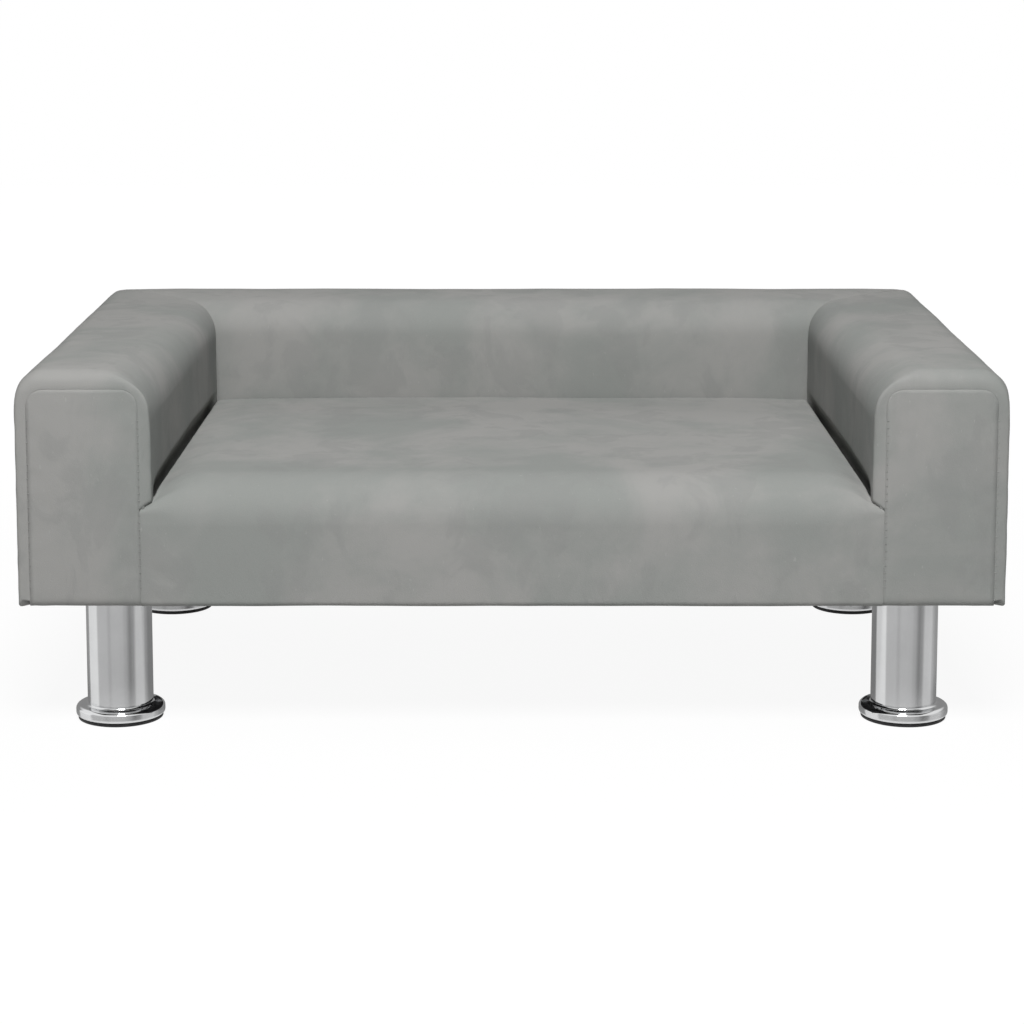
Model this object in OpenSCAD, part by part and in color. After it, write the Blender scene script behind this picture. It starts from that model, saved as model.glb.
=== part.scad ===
// Small upholstered sofa bed for a dog: two padded arms, a low back and a padded seat,
// on four round chrome legs with levelling feet. Sizes are in millimetres.
// The front faces -Y, the floor is at z = 0, and x = 0 is the middle of the sofa.

/* [Size] */
// Overall width across the two arms
width = 700; // [500:5:1400]
// Overall depth, from the arm fronts to the back cover
depth = 450; // [350:5:900]
// Overall height, from the floor to the top of the arms and back
height = 265; // [220:5:500]
// Height of the frame's underside above the floor
leg_height = 100; // [60:1:250]
// Width of each arm, and thickness of the back
arm_width = 105; // [85:1:200]
// Height of the seat's middle above the floor
seat_height = 190; // [160:1:400]

/* [Upholstery] */
// Thickness of the velvet covers
cover_thickness = 1; // [0.6:0.1:2]
// Gap between pieces that lie against each other on a curve
ease = 0.3; // [0.1:0.1:0.6]
// Foam over the top of the arms and the back
foam_top = 20; // [10:1:40]
// Foam on the faces that the dog lies against
foam_inner = 22; // [12:1:45]
// Foam on the outer side of the arms
foam_outer = 5; // [3:0.5:15]
// Foam in front of the arms and the seat
foam_front = 10; // [6:0.5:20]
// Wadding on the rear of the frame
foam_rear = 3.7; // [3.7:0.1:8]
// How much the padded tops rise in the middle
crown = 1; // [0:0.5:5]
// How much the seat rises in the middle
seat_crown = 3; // [0:0.5:10]
// How much narrower each arm is at its front end
arm_flare = 10; // [0:1:20]
// Length over which the arms narrow towards the front
flare_length = 40; // [20:5:100]
// Width of cover turned under the frame and stapled
turn_under = 20; // [12:1:30]
// Thickness of the dust cover below the frame
dust_thickness = 0.6; // [0.4:0.1:1.5]
// Distance of the dust cover from the outer edges
dust_inset = 12; // [8:1:19]

/* [Rounding] */
// Radius of the outer top edges
outer_round = 20; // [8:1:30]
// Radius of the top edges towards the seat
inner_round = 35; // [15:1:50]
// Depth of the roll at the front of the arms
front_round = 10; // [6:0.5:15]
// Radius of the upright corners at the rear
corner_round = 7; // [3:0.5:10]
// Radius of the bottom edge
bottom_round = 5; // [3:0.5:8]
// Radius of the seat's front edge
seat_round = 32; // [15:1:45]
// Radius of the seat's edge along the back
seat_rear_round = 10; // [5:1:11]
// How far the seat's top drops to the arms
seat_side_drop = 18; // [10:1:25]
// How far the apron's sides fall back
apron_side_drop = 7; // [4:0.5:7]
// Width of the seat's rolled sides
seat_side_roll = 14; // [8:1:25]
// How much the seat's sides lean in
seat_side_taper = 0.5; // [0.3:0.1:2]
// Height of the seat cover's side above the deck, where it ends
side_end_height = 13; // [11:1:20]

/* [Arm front panel] */
// Distance of its seam from the outer edge
seam_outer = 8; // [5:0.5:20]
// Distance of its seam from the top
seam_top = 13; // [8:0.5:25]
// Distance of its seam from the inner edge
seam_inner = 8.5; // [5:0.5:20]
// Radius of its seam's upper corners
seam_round = 13; // [8:0.5:20]

/* [Frame] */
// Thickness of the plywood base board
base_thickness = 12; // [9:1:18]
// Thickness of the plywood panels
panel_thickness = 9; // [6:1:15]
// Height and width of the softwood battens below the seat
batten = 18; // [12:1:30]
// Thickness of the rail along the seat's front
rail_thickness = 12; // [9:1:20]
// Diameter of the frame screws
screw_diameter = 3.5; // [3:0.5:5]
// Head diameter of the frame screws
screw_head = 7; // [6:0.5:10]
// Height of the frame screws' countersunk heads
screw_head_height = 2.5; // [2:0.5:4]
// Length of the frame screws
screw_length = 35; // [25:5:50]

/* [Legs] */
// Distance of a leg's middle from the two nearest edges
leg_inset = 62; // [50:1:120]
// Outer diameter of the chrome tube
tube_diameter = 48; // [30:1:70]
// Wall thickness of the chrome tube
tube_wall = 1.2; // [0.8:0.1:3]
// Height of the tube's lower edge above the floor
tube_bottom = 12; // [11:0.5:16]
// Diameter of the plate at the top of the leg
plate_diameter = 72; // [60:1:100]
// Thickness of the plate at the top of the leg
plate_thickness = 2.5; // [1.5:0.5:4]
// Distance of the plate's screws from the leg's middle
plate_screw_radius = 29.5; // [20:0.5:45]
// Diameter of the plate's screws
plate_screw = 4; // [3:0.5:5]
// Head diameter of the plate's screws
plate_screw_head = 8; // [6:0.5:10]
// Head height of the plate's screws
plate_screw_head_height = 2.2; // [1.5:0.1:4]
// How far the plate's screws enter the base board
plate_screw_depth = 9; // [6:1:11]
// Height of the threaded plug in the tube
plug_height = 18; // [12:1:30]

/* [Levelling feet] */
// Diameter of the foot's flange
flange_diameter = 65; // [50:1:90]
// Height of the flange's upper face below its neck
flange_shoulder = 9.2; // [8:0.1:10]
// Radius of the flange's rolled edge
flange_roll = 3; // [2:0.1:3.2]
// Diameter of the threaded stud
stud_diameter = 8; // [6:1:12]
// Height of the stud's upper end above the floor
stud_top = 46; // [40:1:60]
// Clearance all round the stud in its plug
stud_clearance = 0.05; // [0.02:0.01:0.1]
// Diameter of the stud's head below the flange
stud_head = 14; // [12:0.5:18]
// Height of the stud's head
stud_head_height = 2; // [1:0.5:3]
// Depth of the recess below the flange
recess_depth = 3.5; // [2.5:0.5:5]
// Thickness of the black pad
pad_thickness = 2.5; // [2:0.5:4]
// Diameter of the black pad
pad_diameter = 62; // [45:1:85]
// Wall of the pad's ring, which snaps into the flange
pad_ring_wall = 1; // [0.8:0.1:1.5]
// Height of the pad's ring
pad_ring_height = 1.3; // [1:0.1:2]
// Clearance all round the pad's ring
ring_clearance = 0.06; // [0.03:0.01:0.1]

/* [Hidden] */
$fn = 96;

// half sizes, and where the foam and the wood begin
side = width / 2;
front = depth / 2;
skin = cover_thickness + ease;
wood_side = side - skin - foam_outer;
wood_front = front - skin - foam_front;
wood_rear = front - skin - foam_rear;
wood_top = height - crown - skin - foam_top;
arm_inside = side - arm_width;
wood_inside = arm_inside + skin + foam_inner;
back_face = front - arm_width;
wood_back_face = back_face + skin + foam_inner;
board_top = leg_height + base_thickness;
rail_top = board_top + batten;
deck_top = rail_top + panel_thickness;
panel_top = wood_top - panel_thickness;
cover_bottom = leg_height - cover_thickness;
mitre_shift = side - front;
mitre_gap = ease / 2;
overrun = 1;

// shares of a length, from 0 to 1
top_shares = [1 / 3, 2 / 3];
corner_shares = [1, 0.67, 0.33, 0];
flare_shares = [0, 1 / 3, 2 / 3, 1];
back_middle_shares = [-0.5, 0, 0.5];
// rows of the seat: share of the half width, angle of the side's roll, and 1 at the side's lower end
seat_row_shares = [
    [-1, 90, 1], [-1, 90, 0], [-1, 60, 0], [-1, 30, 0], [-1, 0, 0], [-0.7, 0, 0], [-0.35, 0, 0], [0, 0, 0],
    [0.35, 0, 0], [0.7, 0, 0], [1, 0, 0], [1, 30, 0], [1, 60, 0], [1, 90, 0], [1, 90, 1]
];
seat_flare_shares = [1 / 3, 2 / 3, 1];
seat_depth_shares = [1 / 3, 2 / 3];
rear_roll_share = 0.85;
fold_share = 0.5;
side_screw_shares = [-0.65, 0, 0.77];
back_screw_shares = [0.3, 0.8];
flare_end = flare_length + front_round - front;
roll_angles = [90, 60, 30, 0];
arc_steps = 4;
wide_arc_steps = 6;
small_arc_steps = 2;

leg_x = side - leg_inset;
leg_y = front - leg_inset;
tube_top = leg_height - plate_thickness;
recess_radius = stud_head / 2 + pad_ring_wall + 0.5 * pad_ring_wall;
flange_edge = flange_diameter / 2;

// Shapes that several parts share

// A quarter turn between two angles: an arc, or the square corner of a board around the same middle
function turn(middle, r, from, to, steps, square = false) =
    let (
        start = [cos(from), sin(from)],
        end = [cos(to), sin(to)]
    )
    [for (i = [0 : steps])
        let (share = i / steps, angle = from + (to - from) * share)
        middle + r * (square
            ? start * min(1, 2 - 2 * share) + end * min(1, 2 * share)
            : [cos(angle), sin(angle)])
    ];

// Two points between the ends of a padded top, lifted by the crown
function lifted(from, to, lift) =
    [for (share = top_shares) from + (to - from) * share + [0, lift]];

// A point near an upright rear corner, moved from the sharp corner on to the rounded one
function rounded(x, y) =
    let (
        u = side - abs(x),
        v = front - y,
        level = min(u, v),
        left = corner_round - max(u, v),
        r = corner_round - level
    )
    (r <= 0 || left <= 0) ? [x, y]
    : let (
        angle = 45 * left / r,
        along = corner_round - r * sin(angle),
        across = corner_round - r * cos(angle),
        moved = u < v ? [across, along] : [along, across]
    )
    [sign(x) * (side - moved[0]), front - moved[1]];

function square_of_four(a, b, c, d) = [[a, b, c], [a, c, d]];

// A closed skin or pad between an outer and an inner grid of points
module between(outer, inner) {
    rows = len(outer);
    cols = len(outer[0]);
    far = rows * cols;
    last_row = far - cols;
    last_col = cols - 1;
    points = concat([for (row = outer) each row], [for (row = inner) each row]);
    faces = concat(
        [for (i = [0 : rows - 2], j = [0 : cols - 2])
            let (a = i * cols + j, b = a + 1, c = b + cols, d = a + cols)
            each concat(square_of_four(a, b, c, d), square_of_four(far + a, far + d, far + c, far + b))],
        [for (i = [0 : rows - 2])
            let (a = i * cols, d = a + cols, b = a + last_col, c = d + last_col)
            each concat(square_of_four(a, d, far + d, far + a), square_of_four(c, b, far + b, far + c))],
        [for (j = [0 : cols - 2])
            let (a = j, b = j + 1, c = last_row + j, d = last_row + j + 1)
            each concat(square_of_four(b, a, far + a, far + b), square_of_four(c, d, far + d, far + c))]
    );
    polyhedron(points = points, faces = faces, convexity = 6);
}

// A closed pad through a row of closed outlines, with flat ends
module stack(outlines) {
    rows = len(outlines);
    cols = len(outlines[0]);
    end = (rows - 1) * cols;
    faces = concat(
        [for (i = [0 : rows - 2], j = [0 : cols - 1])
            let (a = i * cols + j, b = i * cols + (j + 1) % cols)
            each square_of_four(a, b, b + cols, a + cols)],
        [for (j = [1 : cols - 2]) [0, j + 1, j]],
        [for (j = [1 : cols - 2]) [end, end + j, end + j + 1]]
    );
    polyhedron(points = [for (outline = outlines) each outline], faces = faces, convexity = 4);
}

module box(from, to) {
    translate(from) cube(to - from);
}

// The arm, drawn at the right and mirrored for the left

// Height of the rolled bottom edge of the arm's front, at a distance inside the cover's face
function rolled_bottom(y, inside) =
    let (
        middle = bottom_round - front,
        r = bottom_round - inside
    )
    y < middle ? cover_bottom + bottom_round - sqrt(max(0, r * r - (y - middle) * (y - middle)))
    : cover_bottom + inside;

// Plan position of the arm's inner face
function arm_face(y) =
    let (share = min(1, max(0, (flare_end - y) / flare_length)))
    arm_inside + arm_flare * share * share;

// Outline of the arm across its length, from the bottom of the outer side over the top and down inside.
// The angle is that of the front roll, and inside is the distance from the cover's face.
function arm_outline(y, angle, inside, low, covered) =
    let (
        share = 1 - cos(angle),
        right = side - inside - (seam_outer - inside) * share,
        top = height - crown - inside - (seam_top - inside) * share,
        left = arm_face(y) + inside + (seam_inner - inside) * share,
        outer_r = outer_round - inside - (outer_round - seam_round) * share,
        inner_r = inner_round - inside - (inner_round - seam_round) * share,
        bottom = rolled_bottom(y, inside),
        full = max(0.1, cos(angle)),
        bottom_r = (bottom_round - inside) * full,
        outer_arc = turn([right - outer_r, top - outer_r], outer_r, 0, 90, arc_steps),
        inner_arc = turn([left + inner_r, top - inner_r], inner_r, 90, 180, wide_arc_steps),
        end = covered ? [[side - turn_under * full - seam_outer * share, bottom]] : []
    )
    concat(
        end,
        turn([right - bottom_r, bottom + bottom_r], bottom_r, -90, 0, small_arc_steps),
        outer_arc,
        lifted(outer_arc[arc_steps], inner_arc[0], crown * cos(angle)),
        inner_arc,
        [[left, max(low, bottom)]]
    );

// The same number of points along the arm's boards
function arm_wood_outline() =
    let (
        r = panel_thickness,
        outer_arc = turn([wood_side - r, wood_top - r], r, 0, 90, arc_steps, true),
        inner_arc = turn([wood_inside + r, wood_top - r], r, 90, 180, wide_arc_steps, true)
    )
    concat(
        [for (i = [0 : small_arc_steps]) [wood_side, leg_height + ease + bottom_round * i / small_arc_steps]],
        outer_arc,
        lifted(outer_arc[arc_steps], inner_arc[0], 0),
        inner_arc,
        [[wood_inside, deck_top + ease]]
    );

// One row of the arm's grid, at a place along it or at a distance from the mitre at the back
function arm_row(outline, y) = [for (p = outline) [p[0], y, p[1]]];
function arm_end_row(outline, distance) =
    [for (p = outline)
        let (q = rounded(p[0], p[0] - mitre_shift - mitre_gap - distance))
        [q[0], q[1], p[1]]
    ];

function arm_wood_end_row(outline, distance) =
    [for (p = outline) [p[0], p[0] - mitre_shift - mitre_gap - distance, p[1]]];

function arm_rows(inside, covered) = [
    for (share = flare_shares)
        let (y = -wood_front + ease + (flare_end + wood_front) * share)
        arm_row(arm_outline(y, 0, inside, deck_top + ease, covered), y),
    arm_row(arm_outline(0, 0, inside, deck_top + ease, covered), (back_face - wood_front) / 2),
    for (share = corner_shares)
        arm_end_row(arm_outline(0, 0, inside, deck_top + ease, covered), corner_round * share)
];

function arm_front_rows(inside, covered) = [
    for (angle = roll_angles)
        let (y = inside - front + (front_round - inside) * (1 - sin(angle)))
        arm_row(arm_outline(y, angle, inside, 0, covered), y)
];

module arm_cover() {
    color([0.6, 0.6, 0.58])
    between(
        concat(arm_front_rows(0, true), [front_edge_row(0)], arm_rows(0, true)),
        concat(arm_front_rows(cover_thickness, true), [front_edge_row(cover_thickness)],
            arm_rows(cover_thickness, true))
    );
}

// The last row of the cover that reaches the bottom, just in front of the wood
function front_edge_row(inside) =
    arm_row(arm_outline(-wood_front - ease, 0, inside, 0, true), -wood_front - ease);

module arm_foam() {
    outer = [
        arm_row(arm_outline(-wood_front, 0, skin, deck_top + ease, false), -wood_front),
        each arm_rows(skin, false)
    ];
    wood = arm_wood_outline();
    straight = len(outer) - len(corner_shares);
    color([0.93, 0.9, 0.76])
    between(outer, [
        for (i = [0 : straight - 1]) arm_row(wood, outer[i][0][1]),
        for (share = corner_shares) arm_wood_end_row(wood, corner_round * share)
    ]);
}

module arm_front_foam() {
    rows = arm_front_rows(skin, false);
    color([0.93, 0.9, 0.76])
    stack([
        each rows,
        arm_row(arm_outline(-wood_front, 0, skin, 0, false), -wood_front)
    ]);
}

module arm_front_cover() {
    left = arm_inside + arm_flare + seam_inner + ease;
    right = side - seam_outer - ease;
    top = height - crown - seam_top - ease;
    r = seam_round - ease;
    back = turn_under - front;
    color([0.6, 0.6, 0.58])
    difference() {
        intersection() {
            translate([0, back, 0])
            rotate([90, 0, 0])
            linear_extrude(turn_under + overrun)
            union() {
                translate([left, cover_bottom - overrun])
                square([right - left, top - r - cover_bottom + overrun]);
                translate([left + r, top - 2 * r]) square([right - left - 2 * r, 2 * r]);
                translate([left + r, top - r]) circle(r);
                translate([right - r, top - r]) circle(r);
            }
            translate([left - overrun, 0, 0])
            rotate([90, 0, 90])
            linear_extrude(right - left + 2 * overrun)
            rolled_edge(top + overrun);
        }
        translate([0, 0, cover_bottom - overrun])
        linear_extrude(bottom_round + overrun - ease)
        polygon([
            [right, -front - overrun], [right, back + overrun],
            [side - turn_under - ease, back + overrun], [side - turn_under - ease, front_round - front],
            [right - turn_under * fold_share, bottom_round - front], [right, -front]
        ]);
    }
}

// The cover's flat face with its edge turned under, seen from the side
module rolled_edge(top) {
    middle = [bottom_round - front, cover_bottom + bottom_round];
    difference() {
        union() {
            translate([-front, middle[1]]) square([turn_under, top - middle[1]]);
            translate([middle[0], cover_bottom]) square([turn_under - bottom_round, top - cover_bottom]);
            translate(middle) circle(bottom_round);
        }
        translate([cover_thickness - front, middle[1]]) square([turn_under, top]);
        translate([middle[0], leg_height]) square([turn_under, top]);
        translate(middle) circle(bottom_round - cover_thickness);
    }
}

module arm_outer_panel() {
    color([0.82, 0.7, 0.5])
    difference() {
        box([wood_side - panel_thickness, panel_thickness - wood_front, board_top],
            [wood_side, wood_rear - panel_thickness, panel_top]);
        frame_screw_shapes();
    }
}

module arm_inner_panel() {
    color([0.82, 0.7, 0.5])
    difference() {
        box([wood_inside, panel_thickness - wood_front, board_top],
            [wood_inside + panel_thickness, wood_rear - panel_thickness, panel_top]);
        frame_screw_shapes();
    }
}

module arm_front_panel() {
    color([0.82, 0.7, 0.5])
    difference() {
        box([wood_inside, -wood_front, board_top], [wood_side, panel_thickness - wood_front, panel_top]);
        frame_screw_shapes();
    }
}

module arm_top_board() {
    color([0.86, 0.74, 0.54])
    box([wood_inside, -wood_front, panel_top], [wood_side, wood_rear, wood_top]);
}

module left_arm_outer_panel() { mirror([1, 0, 0]) arm_outer_panel(); }
module left_arm_inner_panel() { mirror([1, 0, 0]) arm_inner_panel(); }
module left_arm_front_panel() { mirror([1, 0, 0]) arm_front_panel(); }
module left_arm_top_board() { mirror([1, 0, 0]) arm_top_board(); }
module left_arm_foam() { mirror([1, 0, 0]) arm_foam(); }
module left_arm_front_foam() { mirror([1, 0, 0]) arm_front_foam(); }
module left_arm_cover() { mirror([1, 0, 0]) arm_cover(); }
module left_arm_front_cover() { mirror([1, 0, 0]) arm_front_cover(); }
module right_arm_outer_panel() { arm_outer_panel(); }
module right_arm_inner_panel() { arm_inner_panel(); }
module right_arm_front_panel() { arm_front_panel(); }
module right_arm_top_board() { arm_top_board(); }
module right_arm_foam() { arm_foam(); }
module right_arm_front_foam() { arm_front_foam(); }
module right_arm_cover() { arm_cover(); }
module right_arm_front_cover() { arm_front_cover(); }

// The back, mitred against the arms

// Outline of the back across its length, from the seat up its front face, over the top and down behind
function back_outline(inside) =
    let (
        top = height - crown,
        front_middle = [back_face + inner_round, top - inner_round],
        front_arc = turn(front_middle, inner_round - inside, 180, 90, wide_arc_steps),
        rear_arc = turn([front - outer_round, top - outer_round], outer_round - inside, 90, 0, arc_steps)
    )
    concat(
        [[back_face + inside, deck_top + ease]],
        front_arc,
        lifted(front_arc[wide_arc_steps], rear_arc[0], crown),
        rear_arc
    );

function back_wood_outline() =
    let (
        r = panel_thickness,
        front_arc = turn([wood_back_face + r, wood_top - r], r, 180, 90, wide_arc_steps, true),
        last = len(front_arc) - 1,
        rear = [wood_rear, wood_top]
    )
    concat(
        [[wood_back_face, deck_top + ease]],
        front_arc,
        [for (i = [1 : arc_steps + 3])
            front_arc[last] + (rear - front_arc[last]) * i / (arc_steps + 3)]
    );

// Rows across the width for an outline of the back, mitred at both ends
function back_rows(outline) = [
    for (share = [3, 2, 1, 0]) back_end_row(outline, -1, corner_round * corner_shares[share]),
    for (share = back_middle_shares)
        [for (p = outline) [share * (p[0] + mitre_shift), p[0], p[1]]],
    for (share = corner_shares) back_end_row(outline, 1, corner_round * share)
];

function back_end_row(outline, way, distance) =
    [for (p = outline)
        let (q = rounded(way * (p[0] + mitre_shift - mitre_gap - distance), p[0]))
        [q[0], q[1], p[1]]
    ];

module back_cover() {
    color([0.58, 0.58, 0.56])
    between(back_rows(back_outline(0)), back_rows(back_outline(cover_thickness)));
}

module back_foam() {
    color([0.93, 0.9, 0.76])
    between(back_rows(back_outline(skin)), back_rows(back_wood_outline()));
}

// The flat rear of the sofa, from below the back's roll to the edge turned under the frame
function rear_outline(inside) =
    let (r = bottom_round - inside)
    concat(
        [[front - inside, height - crown - outer_round - ease]],
        turn([front - bottom_round, cover_bottom + bottom_round], r, 0, -90, small_arc_steps),
        [[front - turn_under, cover_bottom + inside]]
    );

module rear_wadding() {
    color([0.95, 0.95, 0.93])
    box([-wood_side, wood_rear, cover_bottom + bottom_round], [wood_side, wood_rear + foam_rear, wood_top]);
}

module rear_cover() {
    color([0.58, 0.58, 0.56])
    between(back_rows(rear_outline(0)), back_rows(rear_outline(cover_thickness)));
}

module back_front_panel() {
    color([0.82, 0.7, 0.5])
    difference() {
        box([-wood_inside, wood_back_face, board_top],
            [wood_inside, wood_back_face + panel_thickness, panel_top]);
        frame_screw_shapes();
    }
}

module back_rear_panel() {
    color([0.82, 0.7, 0.5])
    difference() {
        box([-wood_side, wood_rear - panel_thickness, board_top], [wood_side, wood_rear, panel_top]);
        frame_screw_shapes();
    }
}

module back_top_board() {
    color([0.86, 0.74, 0.54])
    box([-wood_inside, wood_back_face, panel_top], [wood_inside, wood_rear, wood_top]);
}

// The seat and its apron, between the arms

// Outline of the seat across its width, from below the apron over the front roll to the back
function seat_outline(top, top_drop, front_drop, inside, covered) =
    let (
        roll = seat_round - (top_drop + front_drop) / 2,
        face = front_drop - front,
        high = top - top_drop,
        r = bottom_round - inside,
        rear = back_face - ease - inside,
        rear_r = min(seat_rear_round - inside, (high - deck_top) * rear_roll_share),
        roll_arc = turn([face + roll, high - roll], roll, 180, 90, wide_arc_steps),
        roll_end = roll_arc[wide_arc_steps],
        face_end = [flare_end, high],
        rear_arc = turn([rear - rear_r, high - rear_r], rear_r, 90, 0, arc_steps),
        start = covered ? [[turn_under - front, cover_bottom + inside]] : [],
        end = covered ? [[rear, deck_top + ease]] : []
    )
    concat(
        start,
        turn([face + r, cover_bottom + bottom_round], r, -90, -180, small_arc_steps),
        roll_arc,
        [for (share = seat_flare_shares) roll_end + (face_end - roll_end) * share],
        [for (share = seat_depth_shares) face_end + (rear_arc[0] - face_end) * share],
        rear_arc,
        end
    );

// The seat's outline at a row, where the sides roll down and end above the deck
function seat_row_outline(row, inside, covered) =
    let (
        top = seat_height - seat_crown * row[0] * row[0],
        top_drop = row[2] == 1 ? top - deck_top - side_end_height
            : seat_side_drop - (seat_side_drop - inside) * cos(row[1]),
        front_drop = apron_side_drop - (apron_side_drop - inside) * cos(row[1])
    )
    seat_outline(top, top_drop, front_drop, inside, covered);

// Points of an outline set out at a row's place across the width, up to the arm's face or inside its flare
function seat_points(outline, row, inside, flared = true) =
    [for (p = outline)
        let (
            edge = (flared ? arm_face(p[0]) : arm_inside) - ease - seat_side_roll,
            lean = seat_side_taper * (1 - row[2])
        )
        [row[0] * (edge + (seat_side_roll - lean - inside) * sin(row[1])), p[0], p[1]]
    ];

function seat_rows(inside, covered) =
    [for (row = seat_row_shares) seat_points(seat_row_outline(row, inside, covered), row, inside)];

// The foam's underside below an outline: up the front of the wood, then back along the deck
function seat_wood_outline(outline) =
    let (
        upright = small_arc_steps + wide_arc_steps,
        bottom = [-wood_front, leg_height + ease],
        corner = [-wood_front, deck_top]
    )
    [for (i = [0 : len(outline) - 1])
        i <= upright ? bottom + (corner - bottom) * i / upright : [outline[i][0], deck_top]
    ];

module seat_cover() {
    color([0.57, 0.58, 0.56])
    between(seat_rows(0, true), seat_rows(cover_thickness, true));
}

module seat_foam() {
    color([0.93, 0.9, 0.76])
    between(seat_rows(skin, false), [
        for (row = seat_row_shares)
            seat_points(seat_wood_outline(seat_row_outline(row, skin, false)), row, skin, false)
    ]);
}

module seat_deck() {
    color([0.86, 0.74, 0.54])
    box([-wood_inside, -wood_front, rail_top], [wood_inside, wood_back_face, deck_top]);
}

module seat_rail() {
    color([0.78, 0.64, 0.44])
    difference() {
        box([-wood_inside, -wood_front, board_top], [wood_inside, rail_thickness - wood_front, rail_top]);
        frame_screw_shapes();
    }
}

module seat_battens() {
    from = rail_thickness - wood_front;
    color([0.78, 0.64, 0.44])
    union() {
        for (way = [-1, 0, 1])
            translate([way * (wood_inside - batten / 2) - batten / 2, from, board_top])
            cube([batten, wood_back_face - batten - from, batten]);
        box([-wood_inside, wood_back_face - batten, board_top], [wood_inside, wood_back_face, rail_top]);
    }
}

// The base board and the dust cover below it

module base_board() {
    color([0.86, 0.74, 0.54])
    difference() {
        box([-wood_side, -wood_front, leg_height], [wood_side, wood_rear, board_top]);
        frame_screw_shapes();
        leg_screw_shapes();
    }
}

module dust_cover() {
    color([0.12, 0.12, 0.12])
    difference() {
        box([dust_inset - side, dust_inset - front, cover_bottom - dust_thickness],
            [side - dust_inset, front - dust_inset, cover_bottom]);
        at_legs()
        translate([0, 0, cover_bottom - dust_thickness - overrun])
        cylinder(d = plate_diameter + 2 * plate_thickness, h = dust_thickness + 2 * overrun);
    }
}

module frame_screw() {
    cylinder(d1 = screw_head, d2 = screw_diameter, h = screw_head_height);
    cylinder(d = screw_diameter, h = screw_length);
}

// Screws up through the base board into the edges of the panels and the rail
module frame_screw_shapes() {
    for (way = [-1, 1]) {
        for (share = side_screw_shares) {
            translate([way * (wood_side - panel_thickness / 2), wood_front * share, leg_height])
            frame_screw();
            translate([way * (wood_inside + panel_thickness / 2), wood_front * share, leg_height])
            frame_screw();
        }
        translate([way * (wood_side + wood_inside) / 2, panel_thickness / 2 - wood_front, leg_height])
        frame_screw();
        for (share = back_screw_shares) {
            translate([way * wood_inside * share, wood_back_face + panel_thickness / 2, leg_height])
            frame_screw();
            translate([way * wood_inside * share, wood_rear - panel_thickness / 2, leg_height])
            frame_screw();
        }
    }
}

module frame_screws() {
    color([0.55, 0.56, 0.58])
    frame_screw_shapes();
}

// The legs, drawn around z and set at the four corners

module at_leg(x_way, y_way) {
    translate([x_way * leg_x, y_way * leg_y, 0]) children();
}

module at_legs() {
    for (x_way = [-1, 1], y_way = [-1, 1]) at_leg(x_way, y_way) children();
}

module at_plate_screws() {
    for (angle = [45 : 90 : 315]) rotate(angle) translate([plate_screw_radius, 0, 0]) children();
}

module leg_screw_shapes() {
    at_legs()
    at_plate_screws()
    translate([0, 0, tube_top])
    cylinder(d = plate_screw, h = plate_thickness + plate_screw_depth);
}

module leg_screws() {
    color([0.6, 0.61, 0.63])
    union() {
        leg_screw_shapes();
        at_legs()
        at_plate_screws()
        translate([0, 0, tube_top - plate_screw_head_height])
        cylinder(d = plate_screw_head, h = plate_screw_head_height);
    }
}

module leg_plate() {
    color([0.75, 0.76, 0.78])
    translate([0, 0, tube_top])
    difference() {
        cylinder(d = plate_diameter, h = plate_thickness);
        at_plate_screws()
        translate([0, 0, -overrun])
        cylinder(d = plate_screw, h = plate_thickness + 2 * overrun);
    }
}

module leg_tube() {
    color([0.8, 0.81, 0.83])
    difference() {
        translate([0, 0, tube_bottom]) cylinder(d = tube_diameter, h = tube_top - tube_bottom);
        translate([0, 0, tube_bottom - overrun])
        cylinder(d = tube_diameter - 2 * tube_wall, h = tube_top - tube_bottom + 2 * overrun);
    }
}

module leg_plug() {
    color([0.15, 0.15, 0.15])
    difference() {
        translate([0, 0, tube_bottom]) cylinder(d = tube_diameter - 2 * tube_wall, h = plug_height);
        translate([0, 0, tube_bottom - overrun])
        cylinder(d = stud_diameter + 2 * stud_clearance, h = plug_height + 2 * overrun);
    }
}

// Turned flange: a short neck below the tube, a sloping shoulder and a rolled edge
module foot_flange() {
    neck = tube_diameter / 2 - tube_wall;
    rim = flange_edge - flange_roll;
    color([0.8, 0.81, 0.83])
    difference() {
        union() {
            rotate_extrude()
            polygon([
                [0, pad_thickness], [rim, pad_thickness], [rim, pad_thickness + 2 * flange_roll],
                [neck + flange_roll, flange_shoulder + flange_roll / 3], [neck, tube_bottom], [0, tube_bottom]
            ]);
            rotate_extrude() translate([rim, pad_thickness + flange_roll]) circle(flange_roll);
        }
        translate([0, 0, pad_thickness - overrun]) cylinder(r = recess_radius, h = recess_depth + overrun);
        cylinder(d = stud_diameter, h = tube_bottom + overrun);
    }
}

module foot_stud() {
    color([0.62, 0.63, 0.65])
    union() {
        translate([0, 0, pad_thickness + recess_depth - stud_head_height])
        cylinder(d = stud_head, h = stud_head_height);
        translate([0, 0, pad_thickness + recess_depth])
        cylinder(d = stud_diameter, h = stud_top - pad_thickness - recess_depth);
    }
}

module foot_pad() {
    ring = recess_radius - ring_clearance;
    color([0.1, 0.1, 0.1])
    union() {
        cylinder(d = pad_diameter, h = pad_thickness);
        translate([0, 0, pad_thickness])
        difference() {
            cylinder(r = ring, h = pad_ring_height);
            translate([0, 0, -overrun]) cylinder(r = ring - pad_ring_wall, h = pad_ring_height + 2 * overrun);
        }
    }
}

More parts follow.
